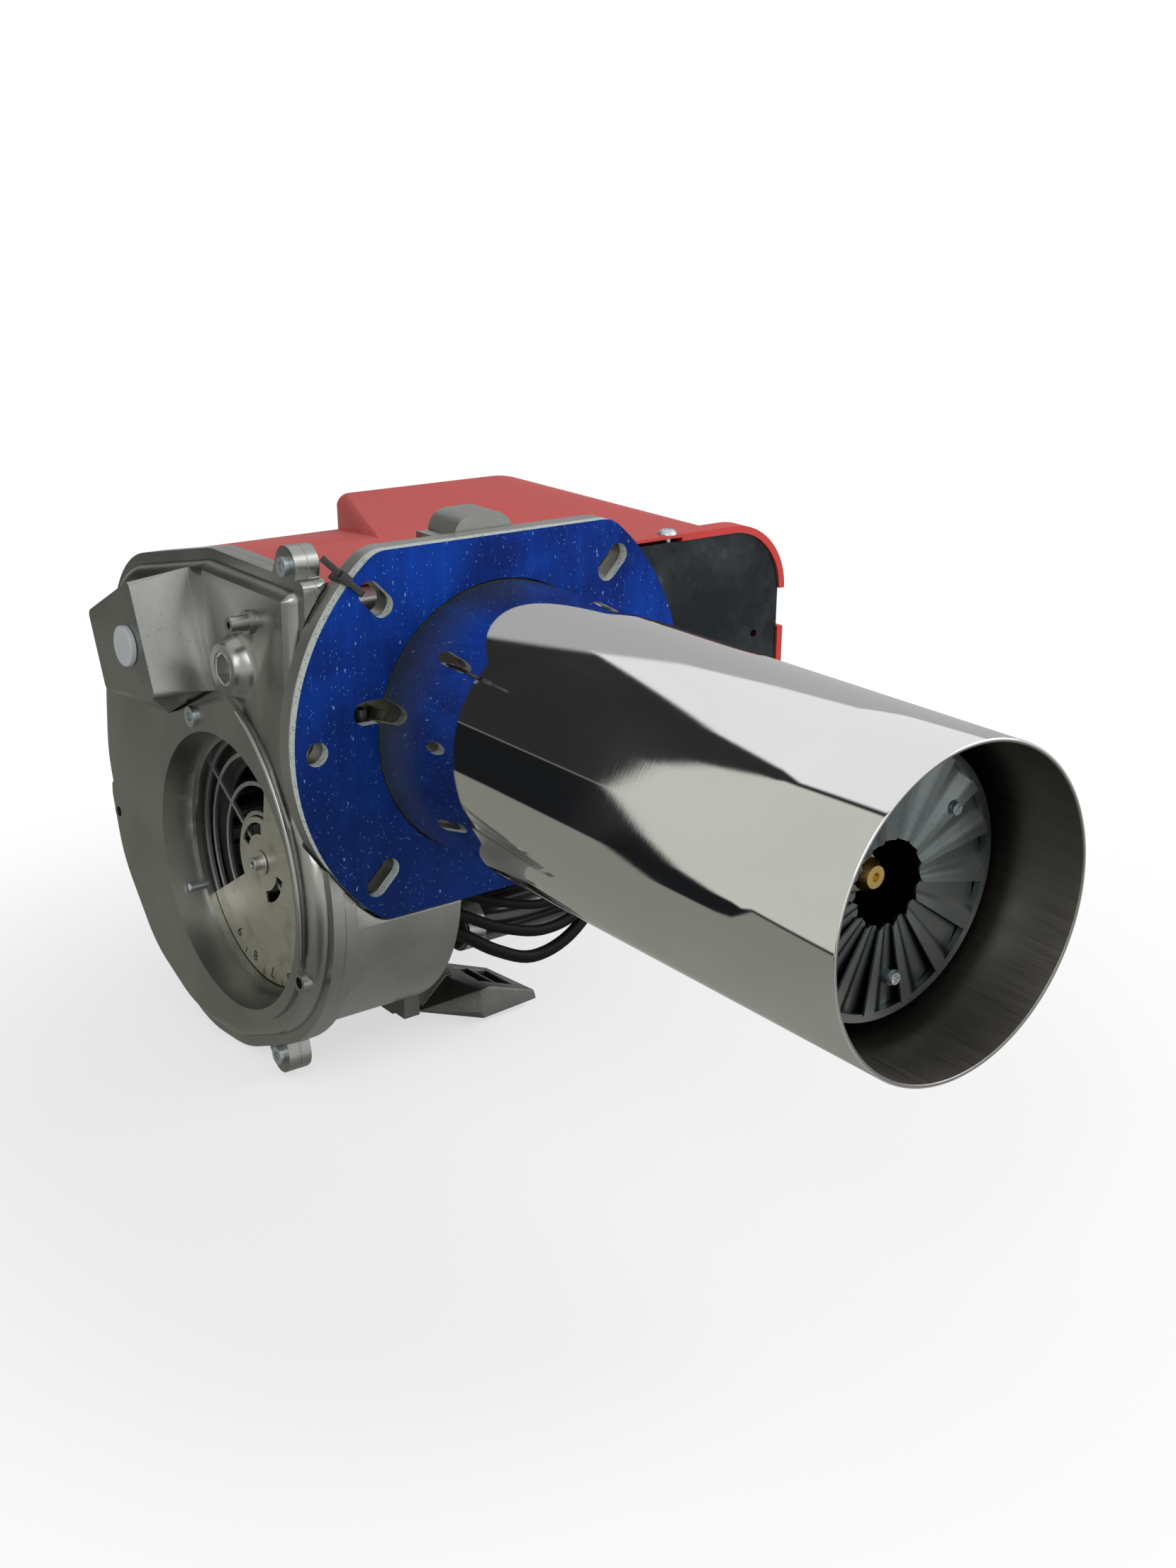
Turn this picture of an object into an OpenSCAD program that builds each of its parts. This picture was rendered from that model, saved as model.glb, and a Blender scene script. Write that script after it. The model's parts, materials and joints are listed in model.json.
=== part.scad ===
// Forced-draught oil burner with a sliding boiler flange.
// Millimetres. The origin is on the blast tube's axis at the flange's boiler face.
// The tube points along -Y, +Z is up, and +X runs along the motor shaft away from the air inlet.

/* [Blast tube] */
// Outside diameter of the blast tube
tube_od = 160; // [140:1:170]
// Wall of the blast tube
tube_wall = 2; // [1.5:0.1:4]
// Length of tube in front of the flange
tube_reach = 354; // [280:1:450]

/* [Boiler flange] */
// Radius of the flange outline
flange_r = 132.2; // [126:0.1:140]
// Half the distance between the top and bottom flats
flange_half = 106; // [100:0.5:112]
// Radius of the four outline corners
flange_corner_r = 18; // [4:0.5:20]
// Thickness of the cast plate
plate_t = 11; // [8:0.5:14]
// Thickness of the fibre gasket
gasket_t = 6; // [3:0.5:8]
// Thickness of the blue facing film
film_t = 0.5; // [0.3:0.1:1]
// Distance from the axis to the middle of each slanted stud slot
slot_mid_r = 113.2; // [110:0.1:116]
// End to end length of a stud slot
slot_len = 24.5; // [18:0.5:28]
// Width of a stud slot
slot_w = 13.5; // [9:0.5:14]
// Distance from the axis to each round stud hole
hole_mid_r = 118.8; // [115:0.1:121]
// Diameter of the round stud holes
hole_d = 13.5; // [9:0.5:14]
// Gap between the film or gasket and the tube
gasket_gap = 0.75; // [0.5:0.05:2]

/* [Fan housing] */
// Distance of the fan axis behind the flange face
fan_y = 105; // [103:0.5:112]
// Height of the fan axis
fan_z = -100; // [-106:0.5:-98]
// Outer radius of the drum about the fan axis
drum_r = 102.5; // [100:0.5:106]
// Distance from the fan axis to the scroll straight behind it
scroll_reach = 171; // [169:0.5:173]
// Place of the inlet side wall
wall_x = -122; // [-128:0.5:-120]
// Height of the raised inlet face above the side wall
face_step = 3; // [1:0.5:5]
// Place of the seam between the two castings
seam_x = -107; // [-109:0.5:-105]
// Width of the joining rim on each casting
rim_w = 7.5; // [5:0.5:9]
// Height of the joining rim above the drum
rim_h = 6; // [4:0.5:8]
// Place of the drum's back wall
back_x = -26; // [-28:0.5:-20]
// Wall thickness of the castings
cast_wall = 4; // [3:0.25:5]
// Rounding of the inlet side's edge
edge_r = 10; // [6:0.5:12]

/* [Air inlet] */
// Radius of the inlet mouth at the raised face
mouth_r = 84; // [82:0.5:86]
// Radius of the inlet where the shoulder starts
shoulder_r = 82; // [80.5:0.5:83]
// Radius of the inlet throat
throat_r = 77; // [74:0.5:79]
// Depth of the shoulder below the raised face
shoulder_depth = 19; // [15:0.5:20]
// Length of the throat behind the shoulder
throat_len = 7; // [6:0.5:9]
// Radii of the grille rings
grille_radii = [30, 48, 66];
// Width of the grille rings and bars
grille_bar = 2.6; // [2:0.1:4]
// Thickness of the grille
grille_t = 2; // [1.5:0.1:3]
// Thickness of the air damper disc
damper_t = 1.5; // [1:0.1:2]
// Angle of the open sector of the damper disc
damper_open = 130; // [60:5:160]
// Angle of the open sector's lower edge, measured from +Y towards +Z
damper_edge = -32; // [-60:1:0]

/* [Fan wheel] */
// Outer radius of the fan wheel
wheel_r = 75; // [68:0.5:76]
// Width of the fan wheel
wheel_w = 58; // [46:1:60]
// Number of blades
blade_count = 32; // [16:1:40]
// Radial depth of a blade
blade_depth = 15; // [12:0.5:18]
// Thickness of a blade
blade_t = 1.6; // [1:0.1:2.5]

/* [Motor and pump] */
// Outer radius of the motor
motor_r = 58; // [52:0.5:60]
// Length of the motor frame
motor_len = 116; // [100:1:130]
// Radius of the motor shaft
shaft_r = 7; // [5:0.5:9]
// Number of cooling ribs on the motor frame
motor_ribs = 24; // [12:1:32]
// Length of the fuel pump body
pump_len = 52; // [44:1:60]
// Radius of the fuel pump body
pump_r = 27; // [24:0.5:32]

/* [Burner head] */
// Radius of the swirl diffuser
diffuser_r = 67; // [62:0.5:72]
// Distance of the diffuser face behind the tube's rim
diffuser_set = 45; // [30:1:70]
// Number of swirl vanes
vane_count = 16; // [10:1:20]
// Radius of the centre opening
diffuser_hole_r = 21; // [17:0.5:26]
// Thickness of the diffuser casting
diffuser_t = 6; // [4:0.5:8]
// Radius of the oil line
line_r = 7; // [5:0.5:8]

/* [Cover] */
// Height of the cover's top above the tube axis
cover_top = 80; // [78.5:0.5:90]
// Place of the cover's right side
cover_right = 250; // [244:0.5:264]
// Place of the cover's rear
cover_rear = 270; // [266:0.5:280]
// Place of the lower rear edge over the fan
cover_rear_low = 257; // [252:0.5:262]
// Drop of the top at the lower rear edge
cover_drop = 21; // [12:0.5:24]
// Wall of the cover
cover_wall = 2; // [1.5:0.1:3]
// Rounding of the top right edge
cover_round = 70; // [50:1:74]
// Height of the cover's bottom edge
cover_foot = -25; // [-30:0.5:-22]

/* [Hidden] */

$fn = 96;
// Small overlap that makes cuts pass cleanly through a face
cut = 1;
// Gap of a running fit, on the radius
run_gap = 0.06;
// Gap of a part that is seated in another
seat_gap = 0.1;
// Gap between flat faces that belong to different bodies
slide_gap = 0.4;

tube_r = tube_od / 2;
flange_t = film_t + gasket_t + plate_t;
collar_front = flange_t + slide_gap;
collar_rear = 28;
hump_rear = 45;
collar_r = tube_r + 16;
// Middles and radius of the two rounds on top of the collar's hump
hump_x = [-6, 9];
hump_z = collar_r + 6.5;
hump_r = 12;
face_x = wall_x - face_step;
rim_left = seam_x - rim_w;
rim_right = seam_x + rim_w;
body_front = 22;
notch_gap = 1.5;

// The scroll is a spiral round the fan axis, drawn with rounds that lie inside it, each [y, z, radius].
// The rate is its growth per degree, and the angles run from +Y towards +Z.
scroll_rate = 0.66;
scroll_round = 80;
function spiral_round(t) = let (r = scroll_reach + scroll_rate * t, n = t - atan(scroll_rate * 180 / PI / r))
    [fan_y + r * cos(t) - scroll_round * cos(n), fan_z + r * sin(t) - scroll_round * sin(n), scroll_round];
scroll_rear = [for (t = [-90, -65, -40, -15, 10, 25]) spiral_round(t)];
scroll_top = [fan_y + 15, fan_z + 145, 30];
scroll_back = [fan_y + 95, fan_z + 97, 60];
// How much higher the inlet casting is than the motor casting along the top
left_rise = 9;
body_top = scroll_top[1] + scroll_top[2];

shoulder_x = face_x + shoulder_depth;
throat_x = shoulder_x + throat_len;
grille_x = throat_x;
damper_x = grille_x - slide_gap - damper_t;
damper_r = throat_r - 0.7;
hub_screw_r = 4;
index_angle = -27;
index_r = 79.3;
index_pin_r = 2.6;
index_len = 10;

wheel_x = throat_x + grille_t + 6;
wheel_back = wheel_x + wheel_w;
spigot_r = 44;
front_shield_x = back_x + seat_gap;
front_shield_t = 14;
frame_x = front_shield_x + front_shield_t;
frame_end = frame_x + motor_len;
rear_shield_t = 12;
rear_end = frame_end + rear_shield_t;
bracket_len = 30;
pump_x = rear_end + bracket_len;
bearing_r = 16;
bearing_t = 9;
stator_bore = 34;
rotor_gap = 0.8;
frame_t = 4;
shaft_end = rear_end + 12;

duct_left = back_x + seat_gap;
duct_right = 88;
duct_rear = 150;
duct_top = 74;
duct_bottom = -34;

diffuser_y = -tube_reach + diffuser_set;
nozzle_tip_y = diffuser_y + 10;
nozzle_len = 16;
holder_len = 34;
holder_y = nozzle_tip_y + nozzle_len;
line_start = holder_y + holder_len;
line_end = duct_rear + 22;
gland_len = 36;

cover_left = rim_right + 0.6;
cover_front = body_front + 26.5;
raised_x = 52;
fold_x = 3;
fold_y = 134;
lip_front = 38;
lip_t = 4.5;
lip_right = cover_right + 4;
lip_round = 46;
plate_thin = 1.5;
plate_y = lip_front + 1.5;
tray_z = cover_foot + 2;
tray_t = 1.5;

control_pos = [92, cover_rear - 74];
control_size = [62, 66, 66];
button_r = 8;
button_travel = 2.5;
button_proud = 4;
button_x = control_pos[0] + 18;
button_z = tray_z + tray_t + 50;

cast_grey = [0.56, 0.55, 0.53];
steel_grey = [0.7, 0.7, 0.72];
zinc_grey = [0.55, 0.6, 0.62];
cover_red = [0.8, 0.1, 0.1];
film_blue = [0.04, 0.14, 0.6];
black = [0.05, 0.05, 0.06];
brass = [0.75, 0.58, 0.25];

// Turns a shape drawn in the YZ plane, as [y, z], into one that is extruded along X from x0 to x1
module along_x(x0, x1) {
    translate([x0, 0, 0]) rotate([90, 0, 90]) linear_extrude(height = x1 - x0) children();
}

// Extrudes a shape drawn in the XZ plane, as [x, z], along Y from y0 to y1
module along_y(y0, y1) {
    translate([0, y1, 0]) rotate([90, 0, 0]) linear_extrude(height = y1 - y0) children();
}

// Extrudes a shape drawn in the XY plane from z0 to z1
module along_z(z0, z1) {
    translate([0, 0, z0]) linear_extrude(height = z1 - z0) children();
}

// Round bar along X, centred on [y, z]
module bar_x(x0, x1, y, z, r, sides = 96) {
    translate([x0, y, z]) rotate([0, 90, 0]) cylinder(h = x1 - x0, r = r, $fn = sides);
}

// Round bar along Y, centred on [x, z]
module bar_y(y0, y1, x, z, r, sides = 96) {
    translate([x, y0, z]) rotate([-90, 0, 0]) cylinder(h = y1 - y0, r = r, $fn = sides);
}

// Places its children on the fan axis, turned so that their Z axis lies along X
module on_fan_axis(x = 0) {
    translate([x, fan_y, fan_z]) rotate([90, 0, 90]) children();
}

// Slot outline with round ends, from one end centre to the other
module slot_2d(len_mid, r) {
    union() {
        square([len_mid, 2 * r], center = true);
        for (s = [-1, 1]) translate([s * len_mid / 2, 0]) circle(r = r);
    }
}

// Rectangle outline with round corners
module round_rect(x0, y0, x1, y1, r) {
    union() {
        translate([x0 + r, y0]) square([x1 - x0 - 2 * r, y1 - y0]);
        translate([x0, y0 + r]) square([x1 - x0, y1 - y0 - 2 * r]);
        for (x = [x0 + r, x1 - r]) for (y = [y0 + r, y1 - r]) translate([x, y]) circle(r = r);
    }
}

// Direction of the line square to the outer tangent of two rounds, each [y, z, radius]
function tangent_angle(a, b) = atan2(b[1] - a[1], b[0] - a[0])
    - acos((a[2] - b[2]) / norm([b[0] - a[0], b[1] - a[1]]));

// Points of a belt drawn tightly round a list of rounds, which run counter-clockwise
function belt(c, step = 5) = [for (i = [0:len(c) - 1])
    let (b = c[i], t0 = tangent_angle(c[(i + len(c) - 1) % len(c)], b),
        turn = (tangent_angle(b, c[(i + 1) % len(c)]) - t0 + 720) % 360, first = ceil(t0 / step) * step)
    for (t = concat([t0], [for (m = [first:step:t0 + turn]) if (m > t0 + 0.1 && m < t0 + turn - 0.1) m],
        [t0 + turn])) b[2] * [cos(t), sin(t)] + [b[0], b[1]]];

// Outline of the scroll in the YZ plane, grown by g all round and by rise more along the top
module scroll_2d(g = 0, rise = 0) {
    polygon(belt([[fan_y, fan_z, drum_r + g], for (c = scroll_rear) [c[0], c[1], c[2] + g],
        [scroll_back[0], scroll_back[1] + rise, scroll_back[2] + g],
        [scroll_top[0], scroll_top[1] + rise, scroll_top[2] + g]]));
}

// Outline of the block between the scroll and the tube
module block_2d(g = 0, rise = 0) {
    round_rect(body_front - g, fan_z + 30 - g, scroll_top[0] + g, body_top + rise + g, 5);
}

module housing_2d(g = 0, rise = 0) {
    union() {
        scroll_2d(g, rise);
        block_2d(g, rise);
    }
}

// Outline of the flange in the XZ plane, grown by g
module flange_2d(g = 0) {
    r = flange_r + g;
    half = flange_half + g;
    corner = flange_corner_r + g;
    mid = r - corner;
    corner_z = half - corner;
    corner_x = sqrt(mid * mid - corner_z * corner_z);
    difference() {
        intersection() {
            circle(r = r, $fn = 180);
            square([2 * r + cut, 2 * half], center = true);
        }
        for (sx = [-1, 1]) for (sz = [-1, 1]) scale([sx, sz]) difference() {
            polygon([[corner_x, corner_z], [corner_x, half + cut], [corner_x * 1.4, half + cut],
                [corner_x * r / mid * 1.1, corner_z * r / mid * 1.1]]);
            translate([corner_x, corner_z]) circle(r = corner);
        }
    }
}

// Stud slots, stud holes and the clamp notch, which every layer of the flange shares
module flange_holes_2d() {
    for (a = [45, 135, 225, 315]) rotate(a) translate([slot_mid_r, 0])
        slot_2d(slot_len - slot_w, slot_w / 2);
    for (s = [-1, 1]) translate([s * hole_mid_r, 0]) circle(d = hole_d);
}

notch_z = 17.8;
notch_w = 13.6;
notch_depth = 15.5;

module clamp_notch_2d() {
    union() {
        translate([-tube_r - notch_depth + notch_w / 2, notch_z]) circle(d = notch_w);
        translate([-tube_r - notch_depth + notch_w / 2, notch_z - notch_w / 2])
            square([notch_depth, notch_w]);
    }
}

// Space that the flange and its travel need in front of the castings
module flange_clearance() {
    along_y(-tube_r, collar_front - 0.05) flange_2d(notch_gap);
}

// Wall that stays in both castings behind the notch for the flange
module tongue() {
    along_x(wall_x, back_x + cut) translate([-cut, -flange_half - notch_gap - cast_wall])
        square([collar_front + cast_wall + cut, flange_half / 2]);
}

// Screw places on the joining rim: [y, z] of the top lug, bottom boss, front boss and rear boss
top_lug = [35, scroll_top[1] + 51];
bottom_lug = [66, fan_z - 107.5];
front_boss = [20, fan_z - 40];
rear_boss = [255, fan_z - 7];
face_screw = [fan_y + 32, fan_z + 88];
lug_r = 11;
boss_r = 6;
screw_r = 3;

module lug_2d(p, r, root) {
    polygon(belt([[p[0], p[1], r], [root[0], root[1], r * 1.3]], 12));
}

top_root = [44, body_top - 6];
bottom_root = [76, fan_z - 88];

// Disc in the YZ plane from x0 to x1 whose edge at x0 is rounded by e
module rounded_disc(p, r, x0, x1, e) {
    translate([0, p[0], p[1]]) rotate([90, 0, 90]) rotate_extrude($fn = 56)
        polygon(concat([[0, x0]], [for (a = [90:-22.5:0]) [max(r - e + e * cos(a), 0.5), x0 + e - e * sin(a)]],
            [[r, x1], [0, x1]]));
}

block_r = 6;

// Solid form of the inlet casting, inset by g on every side, up to the plane x1
module left_form(g, x1) {
    e = edge_r - g;
    hull() {
        rounded_disc([fan_y, fan_z], drum_r - g, wall_x + g, x1, e);
        for (c = scroll_rear) rounded_disc(c, c[2] - g, wall_x + g, x1, e);
        for (c = [scroll_top, scroll_back])
            rounded_disc([c[0], c[1] + left_rise], c[2] - g, wall_x + g, x1, e);
    }
    hull() for (y = [body_front + block_r, scroll_top[0]])
        for (z = [fan_z + 36, body_top + left_rise - block_r])
            rounded_disc([y, z], block_r - g, wall_x + g, x1, e);
}

// Corners of the raised box on the inlet casting: its foot on the wall and its plateau, as [y, z]
box_h = 34;
box_foot = [[141, 76], [113, 9], [172, -20], [214, 48]];
box_face = [[145, 72], [118, 8], [187, -2], [205, 42]];
plug_r = 12;

// Raised box, inset by g on its sides and face
module servo_box(g = 0) {
    mid = [160, 32];
    scale_in = 1 - g / 34;
    hull() {
        along_x(wall_x - 0.1, wall_x + g + 2) translate(mid) scale([scale_in, scale_in, 1])
            translate(-mid) polygon(box_foot);
        along_x(wall_x - box_h + g, wall_x - box_h + g + 0.5) translate(mid) scale([scale_in, scale_in, 1])
            translate(-mid) offset(r = 4) offset(delta = -4) polygon(box_face);
    }
}

module inlet_bell(outer) {
    t = outer ? cast_wall : 0;
    on_fan_axis() rotate_extrude() polygon(outer
        ? [[throat_r + 0.01, face_x + 2], [mouth_r + t, face_x + 2], [shoulder_r + t, shoulder_x + t],
            [throat_r + t, shoulder_x + t], [throat_r + t, throat_x], [throat_r, throat_x]]
        : [[0, face_x - cut], [mouth_r, face_x - cut], [mouth_r, face_x], [shoulder_r, shoulder_x],
            [throat_r, shoulder_x], [throat_r, throat_x + cut], [0, throat_x + cut]]);
}

bead_c = [fan_y + 35, fan_z - 3];
bead_r = 123.5;

module raised_face_2d() {
    intersection() {
        translate(bead_c) circle(r = bead_r, $fn = 180);
        scroll_2d(-edge_r - 1, left_rise);
        polygon([[0, -260], [0, -60], [fan_y - 30, fan_z + 116], [fan_y - 16, fan_z + 113],
            [fan_y + 4, fan_z + 106], [fan_y + 78, fan_z + 76], [fan_y + 122, fan_z + 53],
            [fan_y + 145, fan_z + 33], [fan_y + 156, fan_z + 12], [300, -120], [300, -260]]);
    }
}

module housing_left() {
    color(cast_grey) difference() {
        union() {
            difference() {
                union() {
                    left_form(0, seam_x);
                    servo_box();
                }
                difference() {
                    left_form(cast_wall, seam_x + cut);
                    tongue();
                }
                servo_box(cast_wall);
            }
            along_x(rim_left, seam_x) difference() {
                housing_2d(rim_h, left_rise);
                housing_2d(-cast_wall / 2, left_rise);
            }
            along_x(face_x, wall_x + 1) raised_face_2d();
            on_fan_axis() intersection() {
                translate([35, -3, face_x]) rotate_extrude() translate([bead_r, 0]) circle(r = 1.6, $fn = 24);
                translate([0, 0, face_x]) linear_extrude(height = 8, center = true)
                    polygon([[-105, -34], [-105, 102], [-26, 112], [-20, 20]]);
            }
            inlet_bell(true);
            along_x(rim_left, seam_x) lug_2d(top_lug, lug_r, top_root);
            along_x(rim_left, seam_x) lug_2d(bottom_lug, lug_r, bottom_root);
            for (p = [front_boss, rear_boss]) bar_x(face_x, seam_x, p[0], p[1], boss_r);
            nipple();
            hex_boss();
        }
        inlet_bell(false);
        for (p = [front_boss, rear_boss]) bar_x(face_x - cut, seam_x + cut, p[0], p[1], screw_r + 0.4);
        for (p = [top_lug, bottom_lug]) {
            bar_x(rim_left - cut, seam_x + cut, p[0], p[1], screw_r + 0.4);
        }
        nipple_bore();
        hex_bore();
        flange_clearance();
        bar_x(face_x - box_h, wall_x + 1, plug_at[0], plug_at[1], plug_stem_r + 0.05);
        bar_x(face_x - cut, face_x + 9, face_screw[0], face_screw[1], screw_r + 0.05);
        on_fan_axis() rotate([0, 0, index_angle]) translate([index_r, 0, shoulder_x - 0.01])
            cylinder(h = 3, r = index_pin_r + 0.05);
    }
}

nipple_at = [64.5, 60];
nipple_r = 4.5;
nipple_h = 12.8;

module nipple() {
    bar_x(wall_x - nipple_h, wall_x + cast_wall, nipple_at[0], nipple_at[1], nipple_r);
    bar_x(wall_x - 3, wall_x + cast_wall, nipple_at[0], nipple_at[1], nipple_r + 2.2);
}

module nipple_bore() {
    bar_x(wall_x - nipple_h - cut, wall_x + 8, nipple_at[0], nipple_at[1], 2);
}

hex_at = [80, 31];
hex_front_r = 15;
hex_base_r = 18.5;
hex_h = 10.2;
hex_thread_r = 10;

module hex_boss() {
    translate([wall_x, hex_at[0], hex_at[1]]) rotate([0, -90, 0]) rotate_extrude()
        polygon([[0, 0], [hex_base_r + 2.5, 0], [hex_base_r + 0.6, 1.2], [hex_base_r - 0.6, 3],
            [hex_front_r + 0.8, hex_h - 1.5], [hex_front_r - 0.6, hex_h], [0, hex_h]]);
}

module hex_bore() {
    bar_x(wall_x - hex_h - cut, wall_x + 8, hex_at[0], hex_at[1], hex_thread_r + 0.05);
}

module hex_plug() {
    color(steel_grey) difference() {
        bar_x(wall_x - hex_h + 0.4, wall_x + 2, hex_at[0], hex_at[1], hex_thread_r);
        bar_x(wall_x - hex_h - cut, wall_x - hex_h + 9, hex_at[0], hex_at[1], 9, 6);
    }
}

module housing_screws() {
    color(zinc_grey) {
        for (p = [top_lug, bottom_lug]) difference() {
            union() {
                bar_x(rim_left - 3, rim_left, p[0], p[1], 5.5);
                bar_x(rim_left - 0.1, rim_right - 2, p[0], p[1], screw_r);
            }
            bar_x(rim_left - 3 - cut, rim_left - 0.8, p[0], p[1], 2.9, 6);
        }
        for (p = [front_boss, rear_boss]) difference() {
            bar_x(face_x + 9, rim_right - 2, p[0], p[1], screw_r);
            bar_x(face_x + 8, face_x + 12, p[0], p[1], 1.7, 6);
        }
        difference() {
            union() {
                bar_x(face_x - 2.4, face_x, face_screw[0], face_screw[1], 6.2);
                bar_x(face_x - 0.1, face_x + 9, face_screw[0], face_screw[1], screw_r);
            }
            bar_x(face_x - 2.4 - cut, face_x - 0.6, face_screw[0], face_screw[1], 2.9, 6);
        }
    }
}

plug_at = [150, 33];
plug_stem_r = 9;

module blanking_plug() {
    color([0.85, 0.87, 0.88]) {
        bar_x(wall_x - box_h - 4, wall_x - box_h, plug_at[0], plug_at[1], plug_r);
        bar_x(wall_x - box_h - 0.1, wall_x - box_h + 8, plug_at[0], plug_at[1], plug_stem_r);
    }
}

module index_pin() {
    color(steel_grey) on_fan_axis() rotate([0, 0, index_angle])
        translate([index_r, 0, shoulder_x - index_len]) cylinder(h = index_len + 2.8, r = index_pin_r);
}

module housing_right() {
    color(cast_grey) difference() {
        union() {
            along_x(seam_x, back_x) housing_2d();
            along_x(seam_x, rim_right) housing_2d(rim_h, left_rise);
            along_x(seam_x, rim_right) lug_2d(top_lug, lug_r, top_root);
            along_x(seam_x, rim_right) lug_2d(bottom_lug, lug_r, bottom_root);
        }
        difference() {
            union() {
                along_x(seam_x - cut, back_x - cast_wall) housing_2d(-cast_wall);
                along_x(seam_x - cut, rim_right - 2) intersection() {
                    housing_2d(-cast_wall, left_rise);
                    translate([body_front + cast_wall, body_top - 40]) square([400, 400]);
                }
            }
            tongue();
        }
        flange_clearance();
        bar_x(seam_x - cut, shoulder_x + cast_wall + slide_gap, fan_y, fan_z, mouth_r + cast_wall);
        bar_y(-tube_r, collar_rear + 0.1, 0, 0, collar_r + 0.3);
        along_x(back_x - cast_wall - cut, back_x + cut)
            round_rect(collar_rear + 4, duct_bottom + cast_wall, duct_rear - cast_wall - 1, body_top - cast_wall - 2, 6);
        bar_x(back_x - cast_wall - cut, back_x + cut, fan_y, fan_z, spigot_r + 0.05);
        for (p = [top_lug, bottom_lug, front_boss, rear_boss])
            bar_x(seam_x - cut, rim_right - 2, p[0], p[1], screw_r + 0.05);
    }
}

module air_duct() {
    color(cast_grey) difference() {
        along_x(duct_left, duct_right)
            round_rect(collar_rear + seat_gap, duct_bottom, duct_rear, duct_top, 8);
        along_x(duct_left - cut, duct_right - cast_wall)
            round_rect(collar_rear - 20, duct_bottom + cast_wall, duct_rear - cast_wall, duct_top - cast_wall, 4);
        along_y(hump_rear + slide_gap, cover_front) translate([-30, duct_top - cut]) square([60, 8]);
        bar_y(duct_rear - 10, duct_rear + cut, 0, 0, gland_flange_r - 4);
        bar_y(duct_rear - 10, duct_rear + cut, cell_at[0], cell_at[1], cell_r + 0.1);
    }
}

module collar() {
    color(cast_grey) difference() {
        union() {
            bar_y(collar_front, collar_rear, 0, 0, collar_r);
            along_y(collar_front, hump_rear) {
                for (x = hump_x) translate([x, hump_z]) circle(r = hump_r);
                translate([hump_x[0], hump_z]) square([hump_x[1] - hump_x[0], hump_r]);
                translate([back_x + seat_gap, collar_r - 20]) square([21 - back_x - seat_gap, 27]);
            }
        }
        bar_y(collar_front - cut, collar_rear + cut, 0, 0, tube_r + seat_gap);
        bar_y(collar_rear, hump_rear + cut, 0, 0, tube_r - 3);
    }
}

module intake_grille() {
    color([0.62, 0.62, 0.6]) difference() {
        union() {
            on_fan_axis(grille_x) linear_extrude(height = grille_t) {
                difference() {
                    circle(r = throat_r + cast_wall);
                    circle(r = throat_r - 1.5);
                }
                for (r = grille_radii) difference() {
                    circle(r = r + grille_bar / 2);
                    circle(r = r - grille_bar / 2);
                }
                circle(r = 13);
                for (a = [33, 123, 213, 303]) rotate(a) translate([10, -grille_bar / 2])
                    square([throat_r - 9, grille_bar]);
            }
            on_fan_axis(grille_x) cylinder(h = 5, r = 9);
        }
        on_fan_axis(grille_x - cut) cylinder(h = 8, r = 2.55);
    }
}

module sector_2d(r, a0, a1) {
    steps = 24;
    polygon(concat([[0, 0]], [for (i = [0:steps]) let (a = a0 + (a1 - a0) * i / steps) [r * cos(a), r * sin(a)]]));
}

module air_damper() {
    color([0.62, 0.6, 0.52]) on_fan_axis(damper_x) linear_extrude(height = damper_t) difference() {
        circle(r = damper_r);
        difference() {
            sector_2d(damper_r * 1.1, damper_edge, damper_edge + damper_open);
            circle(r = 28);
        }
        circle(r = hub_screw_r + run_gap);
        for (a0 = [20, 190]) difference() {
            sector_2d(24.5, a0, a0 + 70);
            circle(r = 17.5);
        }
    }
}

module damper_screw() {
    color(steel_grey) on_fan_axis() difference() {
        union() {
            translate([0, 0, grille_x]) cylinder(h = 6, r = 2.5);
            translate([0, 0, damper_x - slide_gap]) cylinder(h = grille_x - damper_x + slide_gap, r = hub_screw_r);
            translate([0, 0, damper_x - slide_gap - 1.2]) cylinder(h = 1.2, r = 7.5);
            translate([0, 0, damper_x - slide_gap - 6.2]) cylinder(h = 5, r = 4.25);
        }
        translate([0, 0, damper_x - slide_gap - 6.2 - cut]) cylinder(h = 3.5 + cut, r = 2.3, $fn = 6);
    }
}

module blast_tube() {
    color(steel_grey) difference() {
        bar_y(-tube_reach, collar_rear, 0, 0, tube_r, 180);
        bar_y(-tube_reach - cut, collar_rear + cut, 0, 0, tube_r - tube_wall, 180);
    }
}

module flange_layer(y0, t, bore_r) {
    along_y(y0, y0 + t) difference() {
        flange_2d();
        circle(r = bore_r, $fn = 180);
        flange_holes_2d();
        clamp_notch_2d();
    }
}

module flange_film() {
    color(film_blue) flange_layer(0, film_t, tube_r + gasket_gap);
}

module flange_gasket() {
    color([0.62, 0.65, 0.64]) flange_layer(film_t, gasket_t, tube_r + gasket_gap);
}

clamp_x = -tube_r - 5.2;
clamp_y = film_t + gasket_t + plate_t / 2;

module flange_plate() {
    color(cast_grey) difference() {
        flange_layer(film_t + gasket_t, plate_t, tube_r + run_gap);
        translate([clamp_x, clamp_y, notch_z - notch_w / 2 - 14]) cylinder(h = 15, r = screw_r + 0.05);
    }
}

module clamp_screw() {
    color(black) difference() {
        union() {
            translate([clamp_x, clamp_y, notch_z - notch_w / 2 - 13]) cylinder(h = 13.5, r = screw_r);
            translate([clamp_x, clamp_y, notch_z - notch_w / 2 + 0.2]) cylinder(h = 6, r = 4.4);
        }
        translate([clamp_x, clamp_y, notch_z - notch_w / 2 + 2.7]) cylinder(h = 6, r = 2.6, $fn = 6);
    }
}

tie_w = 5;
tie_t = 1.4;

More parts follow.
